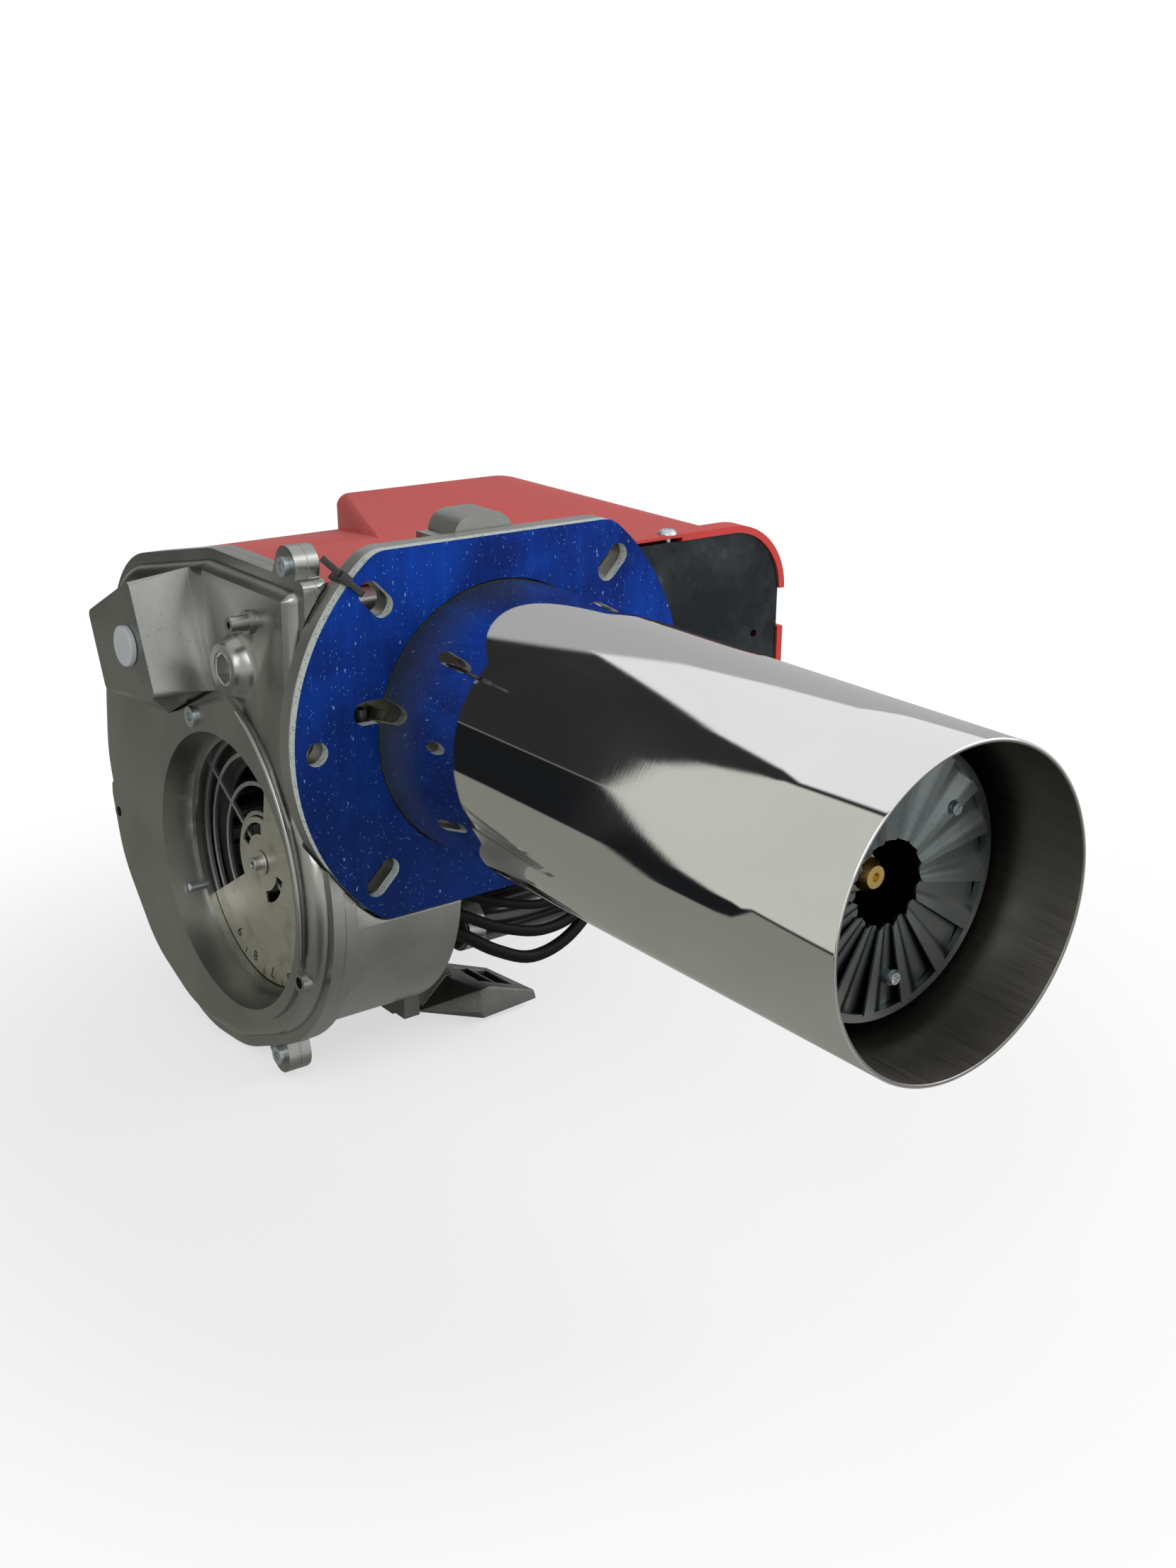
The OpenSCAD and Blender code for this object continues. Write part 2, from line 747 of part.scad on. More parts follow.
// Cable tie round the rib of flange between the upper left slot and the outline
module cable_tie() {
    r_in = slot_mid_r + slot_len / 2 - tie_t - 0.9;
    r_out = flange_r + 0.4;
    color(black) rotate([0, -135, 0]) {
        difference() {
            translate([r_in, -tie_t - 0.4, -tie_w / 2])
                cube([r_out + tie_t - r_in, flange_t + 2 * tie_t + 0.8, tie_w]);
            translate([r_in + tie_t, -0.4, -tie_w / 2 - cut])
                cube([r_out - r_in - tie_t, flange_t + 0.8, tie_w + 2 * cut]);
        }
        translate([r_in + 5, -tie_t - 5, -tie_w / 2 - 1]) cube([8, 4.8, tie_w + 2]);
        translate([r_in + 12.8, -tie_t - 3.6, -tie_w / 2 + 0.5]) rotate([0, 0, 12]) cube([26, 1.4, tie_w - 1]);
    }
}

vane_tilt = 14;
vane_slit = 2.4;
vane_t = 1.8;
rim_ring_w = 4.5;
diffuser_pad = 3.4;
carrier_foot = diffuser_y + 1.6 + diffuser_pad + 0.05;
scallop_r = 2.9;
vane_r1 = diffuser_r - rim_ring_w + 0.6;

// One swirl vane: a flat wedge turned about its own radius, with a slit on each side
module swirl_vane() {
    half = 180 / vane_count;
    inner = diffuser_hole_r * tan(half) - vane_slit / 2;
    outer = vane_r1 * tan(half) - vane_slit / 2;
    rotate([vane_tilt, 0, 0]) translate([0, 0, -vane_t / 2]) linear_extrude(height = vane_t)
        polygon([[diffuser_hole_r, -inner], [vane_r1, -outer], [vane_r1, outer], [diffuser_hole_r, inner]]);
}

module diffuser() {
    color(zinc_grey) translate([0, diffuser_y + 1.6, 0]) rotate([-90, 0, 0]) difference() {
        union() {
            rotate_extrude() polygon([[diffuser_r - rim_ring_w, -1.6], [diffuser_r - 1, -1.6],
                [diffuser_r, -0.6], [diffuser_r, diffuser_t], [diffuser_r - 2, diffuser_t],
                [diffuser_r - 2, 1.8], [diffuser_r - rim_ring_w, 1.8]]);
            rotate_extrude() polygon([[diffuser_hole_r, -0.8], [diffuser_hole_r + 4, -0.8],
                [diffuser_hole_r + 4, 1.2], [diffuser_hole_r, 1.2]]);
            for (i = [0:vane_count - 1]) rotate(i * 360 / vane_count) swirl_vane();
            for (a = head_screw_angles) rotate(-a)
                translate([head_screw_r, 0, -1.4]) cylinder(h = 1.4 + diffuser_pad, r = 4.6);
        }
        for (i = [0:vane_count - 1]) rotate((i + 0.5) * 360 / vane_count)
            translate([diffuser_hole_r, 0, -8]) cylinder(h = 16, r = scallop_r, $fn = 24);
        for (a = head_screw_angles) rotate(-a)
            translate([head_screw_r, 0, -6]) cylinder(h = 14, r = 1.8);
    }
}

head_screw_angles = [36, 156, 276];
head_screw_r = 48;

module diffuser_screws() {
    color(steel_grey) translate([0, diffuser_y, 0]) rotate([-90, 0, 0])
        for (a = head_screw_angles) rotate(-a) translate([head_screw_r, 0, 0]) {
            difference() {
                translate([0, 0, -3.6]) cylinder(h = 2.2, r = 3);
                for (t = [0, 90]) rotate(t) translate([-2.2, -0.4, -4]) cube([4.4, 0.8, 1.4]);
            }
            translate([0, 0, -1.5]) cylinder(h = 9.5, r = 1.75);
        }
}

carrier_y = holder_y + 12;
carrier_r = 17;
strap_t = 2;
strap_w = 8;
strap_y = carrier_y + 1.5;
strap_r = head_screw_r + 5;

// Three bent straps that carry the diffuser on the nozzle holder
module diffuser_carrier() {
    color([0.5, 0.5, 0.5]) difference() {
        union() {
            bar_y(carrier_y, carrier_y + 10, 0, 0, carrier_r);
            translate([-carrier_r - 1, carrier_y - 1, 10]) cube([2 * carrier_r + 2, 10, electrode_z - 4]);
            for (a = head_screw_angles) rotate([0, -a, 0]) along_z(-strap_w / 2, strap_w / 2)
                polygon([[carrier_r - 2.5, strap_y], [strap_r - strap_t, strap_y],
                    [strap_r - strap_t, carrier_foot + strap_t], [head_screw_r - 5, carrier_foot + strap_t],
                    [head_screw_r - 5, carrier_foot], [strap_r, carrier_foot],
                    [strap_r, strap_y + strap_t], [carrier_r - 2.5, strap_y + strap_t]]);
        }
        bar_y(holder_y, holder_y + 40, 0, 0, holder_r + seat_gap);
        for (s = [-1, 1]) bar_y(holder_y, holder_y + 40, s * electrode_x, electrode_z, insulator_r + seat_gap, 32);
        for (a = head_screw_angles) rotate([0, -a, 0])
            bar_y(diffuser_y, diffuser_y + 12, head_screw_r, 0, 1.8);
    }
}

holder_r = 12;
nozzle_r = 8;

module nozzle() {
    color(brass) difference() {
        union() {
            bar_y(holder_y - 9, holder_y, 0, 0, 9.2, 6);
            translate([0, holder_y - 9, 0]) rotate([90, 0, 0]) rotate_extrude()
                polygon([[0, 0], [nozzle_r, 0], [nozzle_r, 3], [5.5, nozzle_len - 9], [0, nozzle_len - 9]]);
            bar_y(holder_y - 0.5, holder_y + 8, 0, 0, 6);
        }
        bar_y(nozzle_tip_y - cut, nozzle_tip_y + 2, 0, 0, 2.2);
    }
}

module nozzle_holder() {
    color(brass) difference() {
        union() {
            bar_y(holder_y, line_start - 12, 0, 0, holder_r);
            bar_y(line_start - 12, line_start, 0, 0, 11.5, 6);
        }
        bar_y(holder_y - cut, holder_y + 8 + 0.2, 0, 0, 6 + 0.05);
        bar_y(line_start - 12, line_start + cut, 0, 0, line_r + 0.05);
    }
}

module oil_line() {
    color(steel_grey) difference() {
        bar_y(line_start - 11.8, line_end, 0, 0, line_r);
        bar_y(line_start - 20, line_end + cut, 0, 0, line_r - 3);
    }
}

electrode_x = 9;
electrode_z = 22;
electrode_r = 1.3;
insulator_r = 5;

module electrodes() {
    color(steel_grey) for (s = [-1, 1]) {
        bar_y(nozzle_tip_y + 3, holder_y + 30, s * electrode_x, electrode_z, electrode_r, 24);
        translate([s * electrode_x, nozzle_tip_y + 3, electrode_z]) rotate([90 - 45, 0, s * 38])
            cylinder(h = 11, r = electrode_r, $fn = 24);
    }
}

module electrode_insulators() {
    color([0.9, 0.88, 0.82]) difference() {
        union() {
            for (s = [-1, 1]) bar_y(holder_y - 6, holder_y + 46, s * electrode_x, electrode_z, insulator_r, 32);
        }
        for (s = [-1, 1]) bar_y(holder_y - 10, holder_y + 50, s * electrode_x, electrode_z, electrode_r + 0.05, 24);
    }
}

module fan_wheel() {
    blade_in = wheel_r - blade_depth;
    bow = 13;
    color(cast_grey) on_fan_axis(wheel_x) difference() {
        union() {
            translate([0, 0, wheel_w - 2]) cylinder(h = 2, r = wheel_r);
            difference() {
                cylinder(h = 2, r = wheel_r);
                translate([0, 0, -cut]) cylinder(h = 4, r = blade_in);
            }
            translate([0, 0, 1]) linear_extrude(height = wheel_w - 2) for (i = [0:blade_count - 1])
                rotate(i * 360 / blade_count) intersection() {
                    translate([(blade_in + wheel_r) / 2, bow]) difference() {
                        circle(r = bow + blade_t / 2 + 1, $fn = 48);
                        circle(r = bow - blade_t / 2 + 1, $fn = 48);
                    }
                    difference() {
                        circle(r = wheel_r - 0.2);
                        circle(r = blade_in + 0.2);
                    }
                    translate([blade_in, -6]) square([blade_depth, 14]);
                }
            translate([0, 0, wheel_w - 26]) cylinder(h = 26, r = 15);
        }
        translate([0, 0, wheel_w - 27]) cylinder(h = 28, r = shaft_r + 0.03);
        translate([0, 0, wheel_w - 16]) rotate([90, 0, 0]) cylinder(h = 20, r = 2.55);
    }
}

module wheel_screw() {
    color(zinc_grey) on_fan_axis(wheel_x) translate([0, -shaft_r - 0.2, wheel_w - 16]) rotate([90, 0, 0])
        cylinder(h = 9.4, r = 2.5);
}

module motor_shaft() {
    color(steel_grey) bar_x(wheel_back - 26, shaft_end, fan_y, fan_z, shaft_r);
}

module motor_rotor() {
    color([0.35, 0.35, 0.36]) difference() {
        bar_x(frame_x + 24, frame_end - 20, fan_y, fan_z, stator_bore - rotor_gap);
        bar_x(frame_x + 23, frame_end - 19, fan_y, fan_z, shaft_r + 0.03);
    }
}

module motor_stator() {
    color([0.45, 0.3, 0.2]) difference() {
        bar_x(frame_x + 20, frame_end - 16, fan_y, fan_z, motor_r - frame_t - seat_gap);
        bar_x(frame_x + 19, frame_end - 15, fan_y, fan_z, stator_bore);
    }
}

module motor_frame() {
    color(black) on_fan_axis(frame_x) difference() {
        linear_extrude(height = motor_len) difference() {
            union() {
                circle(r = motor_r - 2);
                for (i = [0:motor_ribs - 1]) rotate((i + 0.5) * 360 / motor_ribs)
                    translate([0, -1.1]) square([motor_r, 2.2]);
            }
            circle(r = motor_r - frame_t);
        }
    }
}

module front_shield() {
    color([0.66, 0.65, 0.62]) on_fan_axis(front_shield_x) difference() {
        union() {
            cylinder(h = front_shield_t - 0.1, r = motor_r + 4);
            translate([0, 0, -cast_wall - 2]) cylinder(h = cast_wall + 2.1, r = spigot_r);
        }
        translate([0, 0, 4]) cylinder(h = front_shield_t, r = motor_r - 8);
        translate([0, 0, -8]) cylinder(h = 30, r = shaft_r + 2);
        translate([0, 0, -bearing_t + 5]) cylinder(h = bearing_t, r = bearing_r + 0.05);
    }
}

module rear_shield() {
    color([0.66, 0.65, 0.62]) on_fan_axis(frame_end) difference() {
        union() {
            translate([0, 0, 0.1]) cylinder(h = rear_shield_t - 0.2, r = motor_r + 2);
        }
        translate([0, 0, -cut]) cylinder(h = 4, r = motor_r - 8);
        translate([0, 0, -cut]) cylinder(h = 30, r = shaft_r + 2);
        translate([0, 0, 2]) cylinder(h = bearing_t, r = bearing_r + 0.05);
    }
}

module motor_bearings() {
    color(steel_grey) for (x = [front_shield_x - bearing_t + 5, frame_end + 2]) on_fan_axis(x) difference() {
        cylinder(h = bearing_t, r = bearing_r);
        translate([0, 0, -cut]) cylinder(h = 20, r = shaft_r + run_gap);
    }
}

cap_r = 15;
cap_angle = 216;
cap_y = fan_y + (motor_r + cap_r + 2) * cos(cap_angle);
cap_z = fan_z + (motor_r + cap_r + 2) * sin(cap_angle);

module capacitor() {
    color([0.1, 0.1, 0.11]) bar_x(frame_x + 6, frame_x + 96, cap_y, cap_z, cap_r);
}

module capacitor_clip() {
    color([0.8, 0.78, 0.72]) difference() {
        union() {
            bar_x(frame_x + 8, frame_x + 20, cap_y, cap_z, cap_r + 1.5);
            translate([frame_x + 8, cap_y, cap_z]) rotate([cap_angle - 180, 0, 0])
                translate([0, 0, -6]) cube([12, cap_r + 8, 12]);
        }
        bar_x(frame_x, frame_x + 30, cap_y, cap_z, cap_r + 0.1);
        bar_x(frame_x, frame_x + 30, fan_y, fan_z, motor_r + 0.1);
    }
}

// Swept round tube along a list of points, with a ring square to the path at each point
function unit(v) = v / norm(v);
function path_dir(p, i) = unit(p[min(i + 1, len(p) - 1)] - p[max(i - 1, 0)]);
function ring_at(p, i, r, n) = let (d = path_dir(p, i), s = unit(cross(d, abs(d[2]) > 0.9 ? [1, 0, 0] : [0, 0, 1])),
    t = cross(s, d)) [for (k = [0:n - 1]) p[i] + r * cos(360 * k / n) * s + r * sin(360 * k / n) * t];

module sweep(p, r, n = 8) {
    last = len(p) - 1;
    points = [for (i = [0:last]) each ring_at(p, i, r, n)];
    sides = [for (i = [0:last - 1]) for (k = [0:n - 1])
        [i * n + k, i * n + (k + 1) % n, (i + 1) * n + (k + 1) % n, (i + 1) * n + k]];
    ends = [[for (k = [0:n - 1]) n - 1 - k], [for (k = [0:n - 1]) last * n + k]];
    polyhedron(points, concat(ends, sides));
}

// Catmull-Rom points through a list, m steps to a span
function curve_point(a, b, c, d, t) = 0.5 * ((2 * b) + (c - a) * t + (2 * a - 5 * b + 4 * c - d) * t * t
    + (3 * b - a - 3 * c + d) * t * t * t);
function smooth(p, m) = let (n = len(p) - 1) concat([for (i = [0:n - 1]) for (j = [0:m - 1])
    curve_point(p[max(i - 1, 0)], p[i], p[i + 1], p[min(i + 2, n)], j / m)], [p[n]]);

cable_a = [[-24.5, 26, -136], [-14, 25, -140], [10, 20, -156], [36, 18, -166], [66, 20, -160],
    [96, 28, -140], [124, 36, -108], [140, 46, -74], [147, 60, -46], [148, 72, -30], [148, 74, -24]];
cable_b = [[-24.5, 20, -124], [-14, 20, -127], [12, 19, -141], [42, 18, -150], [72, 20, -146],
    [100, 28, -128], [122, 38, -98], [134, 50, -66], [138, 64, -42], [138, 72, -24]];
cable_c = [[-24.5, 24, -112], [-12, 24, -115], [14, 22, -126], [44, 21, -134], [72, 23, -131],
    [96, 30, -116], [114, 38, -92], [124, 50, -64], [128, 64, -42], [128, 72, -24]];

module motor_cables() {
    color(black) {
        sweep(smooth(cable_a, 2), 4);
        sweep(smooth(cable_b, 2), 3.5);
        sweep(smooth(cable_c, 2), 3);
    }
}

module shaft_coupling() {
    color([0.9, 0.5, 0.15]) on_fan_axis(rear_end + 1) difference() {
        cylinder(h = bracket_len - 3, r = 12);
        translate([0, 0, -cut]) cylinder(h = shaft_end - rear_end - 1 + cut + 0.5, r = shaft_r + 0.03);
    }
}

module pump_bracket() {
    color([0.66, 0.65, 0.62]) on_fan_axis(rear_end) difference() {
        union() {
            translate([0, 0, 0]) cylinder(h = bracket_len, r = 30);
            cylinder(h = 4, r = 38);
        }
        translate([0, 0, -cut]) cylinder(h = bracket_len + 2, r = 25);
        translate([0, 0, bracket_len / 2 + 2]) cube([80, 18, bracket_len - 12], center = true);
    }
}

module fuel_pump() {
    color([0.45, 0.45, 0.47]) on_fan_axis(pump_x) difference() {
        union() {
            cylinder(h = 8, r = 30);
            cylinder(h = pump_len - 6, r = pump_r);
            translate([-22, -pump_r - 7, 12]) cube([44, 20, pump_len - 24]);
            translate([-14, pump_r - 8, 14]) cube([28, 14, 24]);
        }
        for (s = [-1, 1]) translate([s * 12, -pump_r - 8, pump_len / 2]) rotate([-90, 0, 0]) cylinder(h = 12, r = 6.55);
        translate([0, 20, 26]) rotate([-90, 0, 0]) cylinder(h = 20, r = 5.05);
    }
}

module pump_filter_cap() {
    color([0.45, 0.45, 0.47]) on_fan_axis(pump_x + pump_len - 6) {
        cylinder(h = 6, r = pump_r - 2);
    }
}

nipple_oil_r = 6.5;

module oil_nipples() {
    color(brass) on_fan_axis(pump_x) for (s = [-1, 1])
        translate([s * 12, -pump_r - 7, pump_len / 2]) rotate([90, 0, 0]) difference() {
            union() {
                translate([0, 0, -10]) cylinder(h = 12, r = nipple_oil_r);
                translate([0, 0, 1]) cylinder(h = 8, r = 9.5, $fn = 6);
                translate([0, 0, 8]) cylinder(h = 14, r = nipple_oil_r);
            }
            translate([0, 0, -6]) cylinder(h = 40, r = 3);
        }
}

module solenoid_valve() {
    color(black) on_fan_axis(pump_x) {
        translate([0, pump_r + 6.1, 26]) rotate([-90, 0, 0]) cylinder(h = 26, r = 8);
        translate([0, 21, 26]) rotate([-90, 0, 0]) cylinder(h = 14, r = 5);
        translate([-17, pump_r + 12, 9]) cube([34, 24, 34]);
    }
}

pipe_points = [[pump_x + 26, fan_y + 14, fan_z + pump_r + 6], [pump_x + 26, fan_y + 34, fan_z + 44],
    [pump_x + 20, fan_y + 60, fan_z + 60], [pump_x - 20, fan_y + 76, fan_z + 64],
    [100, fan_y + 84, fan_z + 66], [50, 206, fan_z + 76], [20, 216, -12], [5, 214, -3], [0, 204, 0],
    [0, duct_rear + gland_len + 0.3, 0]];

module copper_pipe() {
    color([0.72, 0.45, 0.3]) sweep(smooth(pipe_points, 4), 3, 10);
}

gland_flange_r = 22;

// Gland in the duct's rear wall, in which the oil line slides
module line_gland() {
    color([0.6, 0.6, 0.6]) difference() {
        union() {
            bar_y(duct_rear + 0.1, duct_rear + 5, 0, 0, gland_flange_r);
            bar_y(duct_rear - 12, duct_rear + gland_len, 0, 0, 12);
        }
        bar_y(duct_rear - 13, duct_rear + gland_len - 4, 0, 0, line_r + run_gap);
        bar_y(duct_rear - 13, duct_rear + gland_len + cut, 0, 0, 3);
    }
}

cell_at = [44, 24];
cell_r = 10;

module photocell() {
    color(black) {
        bar_y(duct_rear - 12, duct_rear + 18, cell_at[0], cell_at[1], cell_r);
        bar_y(duct_rear + 0.1, duct_rear + 4, cell_at[0], cell_at[1], cell_r + 4);
    }
}

module equipment_tray() {
    color([0.6, 0.62, 0.6]) difference() {
        union() {
            along_z(tray_z, tray_z + tray_t)
                round_rect(duct_right + 0.2, cover_front + cover_wall + 0.5, cover_right - cover_wall - 2, cover_rear - cover_wall - 3, 4);
            translate([duct_right + 0.1, 60, tray_z]) cube([tray_t, 80, 40]);
        }
        translate([120, 64, tray_z - cut]) cube([44, 22, 4]);
    }
}

module control_box() {
    color([0.12, 0.12, 0.13]) difference() {
        translate([control_pos[0], control_pos[1], tray_z + tray_t]) cube(control_size);
        bar_y(control_pos[1] + control_size[1] - 20, control_pos[1] + control_size[1] + cut,
            button_x, button_z, button_r - 2 + 0.3);
    }
}

module reset_button() {
    y0 = control_pos[1] + control_size[1];
    color([0.75, 0.1, 0.1]) {
        bar_y(y0 + button_travel + 0.8, cover_rear + button_proud, button_x, button_z, button_r);
        bar_y(y0 - 14, y0 + button_travel + 1, button_x, button_z, button_r - 2);
    }
}

module ignition_transformer() {
    color([0.2, 0.22, 0.24]) union() {
        translate([176, 96, tray_z + tray_t]) cube([58, 92, 62]);
        for (y = [120, 164]) bar_y(y - 6, y + 6, 205, tray_z + tray_t + 62, 8);
    }
}

// Section of the raised cover in the XZ plane, inset by g
module cover_section_2d(g) {
    r = cover_round;
    x1 = cover_right - g;
    z1 = cover_top - g;
    difference() {
        translate([cover_left + g, cover_foot]) square([x1 - cover_left - g, z1 - cover_foot]);
        difference() {
            translate([x1 - r, z1 - r]) square([r + cut, r + cut]);
            translate([x1 - r, z1 - r]) circle(r = r, $fn = 128);
        }
    }
}

// Plan of the part of the cover at full height, inset by g
module cover_plan_2d(g) {
    polygon([[fold_x + g, cover_front + g], [fold_x + g, fold_y], [raised_x + g, cover_rear - g],
        [cover_right - g, cover_rear - g], [cover_right - g, cover_front + g]]);
}

// Side view of the low wing over the fan, inset by g
module cover_wing_2d(g) {
    polygon([[cover_front + g, cover_foot], [cover_front + g, cover_top - g], [fold_y, cover_top - g],
        [cover_rear_low - g, cover_top - cover_drop - g], [cover_rear_low - g, cover_foot]]);
}

module cover_solid(g) {
    intersection() {
        along_y(cover_front, cover_rear) cover_section_2d(g);
        along_z(cover_foot - cut, cover_top) cover_plan_2d(g);
    }
    along_x(cover_left + g, raised_x + 6) cover_wing_2d(g);
}

module lip_section_2d(g) {
    r = lip_round;
    x1 = lip_right - g;
    z1 = cover_top - g;
    difference() {
        translate([duct_right + 6, cover_foot]) square([x1 - duct_right - 6, z1 - cover_foot]);
        difference() {
            translate([x1 - r + g, z1 - r + g]) square([r + cut, r + cut]);
            translate([x1 - r + g, z1 - r + g]) circle(r = r - g, $fn = 128);
        }
    }
}

cover_screw_at = [157, lip_front + 5];

module cover() {
    color(cover_red) difference() {
        union() {
            difference() {
                cover_solid(0);
                translate([0, 0, -cut]) cover_solid(cover_wall);
                translate([duct_right + 6, cover_front - cut, cover_foot - cut])
                    cube([cover_right - duct_right - 6 - cover_wall, cover_wall + 2 * cut, cover_top - cover_foot - 8]);
            }
            along_y(lip_front, cover_front + 4) difference() {
                lip_section_2d(0);
                lip_section_2d(lip_t);
                translate([duct_right, cover_foot - cut]) square([cover_screw_at[0] + 8 - duct_right, cover_top - cover_foot + cut - 2]);
            }
        }
        along_x(cover_left - cut, back_x + 0.5) scroll_2d(0.6);
        along_x(cover_left - cut, back_x + 0.5) block_2d(0.6);
        along_x(back_x - cut, duct_right + 0.5)
            round_rect(collar_rear, duct_bottom - 20, duct_rear + 0.5, duct_top + 0.5, 6);
        translate([cover_right - cover_wall - cut, lip_front - cut, 8]) cube([20, 16, 26]);
        bar_y(cover_rear - 6, cover_rear + cut, button_x, button_z, button_r + 1);
        translate([cover_screw_at[0], cover_screw_at[1], cover_top - 6]) cylinder(h = 8, r = 2.6);
    }
}

module cover_screws() {
    color(steel_grey) translate([cover_screw_at[0], cover_screw_at[1], 0]) difference() {
        union() {
            translate([0, 0, cover_top - 8]) cylinder(h = 8.1, r = 2.1);
            translate([0, 0, cover_top]) rotate_extrude()
                polygon([[0, 0], [6, 0], [6, 0.8], [5.2, 2], [3.6, 3], [1.6, 3.5], [0, 3.6]]);
        }
        for (t = [0, 90]) rotate([0, 0, t]) translate([-2.6, -0.5, cover_top + 1.6]) cube([5.2, 1, 3]);
    }
}

module front_plate() {
    x0 = duct_right + 8;
    color([0.45, 0.48, 0.47]) difference() {
        union() {
            along_y(plate_y, plate_y + plate_thin) intersection() {
                lip_section_2d(lip_t + 0.2);
                translate([x0, cover_foot]) square([300, 200]);
            }
            translate([x0, plate_y, cover_top - lip_t - 1.9]) cube([cover_screw_at[0] + 40 - x0, 8.5, plate_thin]);
        }
        bar_y(plate_y - cut, plate_y + 4, 229.5, 6, 2.5);
        translate([cover_screw_at[0], cover_screw_at[1], cover_top - 10]) cylinder(h = 8, r = 2.2);
    }
}

foot_sole = bottom_lug[1] - lug_r;
foot_top = foot_sole + 19.5;

module foot() {
    color([0.3, 0.3, 0.29]) difference() {
        union() {
            hull() {
                along_z(foot_sole, foot_sole + 1) polygon([[-6, 84], [22, 52], [66, 56], [60, 104], [-6, 104]]);
                along_z(foot_top - 1, foot_top) polygon([[14, 84], [22, 54], [30, 56], [24, 104], [14, 104]]);
                along_z(foot_sole + 5, foot_sole + 6) polygon([[20, 53], [65, 57], [59, 104]]);
            }
            translate([back_x + seat_gap, 70, foot_sole + 6]) cube([12, 56, 56]);
            translate([back_x + seat_gap, 84, foot_sole + 4]) cube([44, 20, 20]);
        }
        translate([28, 66, foot_sole + 5]) cube([10, 30, 20]);
        translate([41, 66, foot_sole + 4]) cube([12, 30, 20]);
        bar_x(back_x - cut, back_x + 40, fan_y, fan_z, motor_r + 5);
    }
}

housing_left();
housing_right();
air_duct();
collar();
housing_screws();
blanking_plug();
hex_plug();
index_pin();
intake_grille();
air_damper();
damper_screw();
blast_tube();
flange_plate();
flange_gasket();
flange_film();
clamp_screw();
cable_tie();
diffuser();
diffuser_screws();
diffuser_carrier();
nozzle();
nozzle_holder();
oil_line();
electrodes();
electrode_insulators();
fan_wheel();
motor_shaft();
motor_rotor();
motor_stator();
motor_frame();
front_shield();
rear_shield();
motor_bearings();
capacitor();
capacitor_clip();
motor_cables();
shaft_coupling();
pump_bracket();
fuel_pump();
oil_nipples();
solenoid_valve();
copper_pipe();
line_gland();
photocell();
equipment_tray();
control_box();
reset_button();
ignition_transformer();
cover();
cover_screws();
front_plate();
foot();
pump_filter_cap();
wheel_screw();
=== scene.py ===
"""Looks of an oil burner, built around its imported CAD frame.

The frame gives every piece's place in metres: the blast tube's axis is -Y, +Z is up and the
motor's side is +X. Each sub-assembly is a class that holds its sizes and dresses its nodes.
"""

from __future__ import annotations

import json
import logging
import math
from dataclasses import dataclass, field
from enum import Enum
from typing import Sequence, Union

import bmesh
import bpy
from bmesh.types import BMesh, BMVert
from bpy.types import ID, Curve, Material, Mesh, Node, NodeSocket, NodeTree, Object
from mathutils import Matrix, Vector

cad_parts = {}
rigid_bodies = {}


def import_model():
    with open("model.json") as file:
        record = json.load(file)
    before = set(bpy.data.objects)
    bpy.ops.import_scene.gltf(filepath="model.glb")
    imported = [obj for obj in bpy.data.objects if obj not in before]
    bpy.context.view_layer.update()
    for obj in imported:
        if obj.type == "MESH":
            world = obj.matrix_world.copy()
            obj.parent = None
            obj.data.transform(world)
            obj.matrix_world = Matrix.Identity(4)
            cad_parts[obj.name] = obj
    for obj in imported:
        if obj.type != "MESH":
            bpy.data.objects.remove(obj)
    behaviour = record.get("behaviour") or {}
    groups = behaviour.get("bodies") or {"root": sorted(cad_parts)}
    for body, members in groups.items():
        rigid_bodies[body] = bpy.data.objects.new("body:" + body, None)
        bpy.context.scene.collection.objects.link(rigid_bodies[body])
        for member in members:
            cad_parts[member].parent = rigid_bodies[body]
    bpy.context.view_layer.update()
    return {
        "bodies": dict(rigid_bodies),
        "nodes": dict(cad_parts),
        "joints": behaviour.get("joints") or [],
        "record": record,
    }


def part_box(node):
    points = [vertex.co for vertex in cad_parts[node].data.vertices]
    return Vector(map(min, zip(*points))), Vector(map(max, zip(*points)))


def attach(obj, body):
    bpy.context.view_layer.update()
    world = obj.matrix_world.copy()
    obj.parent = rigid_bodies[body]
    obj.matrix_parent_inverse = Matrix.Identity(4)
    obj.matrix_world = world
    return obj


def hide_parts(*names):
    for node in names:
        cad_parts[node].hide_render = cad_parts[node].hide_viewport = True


LOG = logging.getLogger("oil_burner")
MM = 0.001
WELD = 0.00001
SLIVER = 0.000005
SEAM = 0.000002
FLAT_DEG = 0.6
FULL_TURN_DEG = 360.0

Colour = tuple[float, float, float]
Point = tuple[float, float, float]
Pair = tuple[float, float]
EVEN: Point = (1.0, 1.0, 1.0)
WHITE: Colour = (1.0, 1.0, 1.0)
Number = Union[int, float]


class Body(Enum):
    """The bodies of the frame, of which all but the burner itself move."""

    BURNER = "burner"
    FLANGE = "flange"
    HEAD = "head"
    ROTOR = "rotor"
    DAMPER = "damper"
    BUTTON = "button"


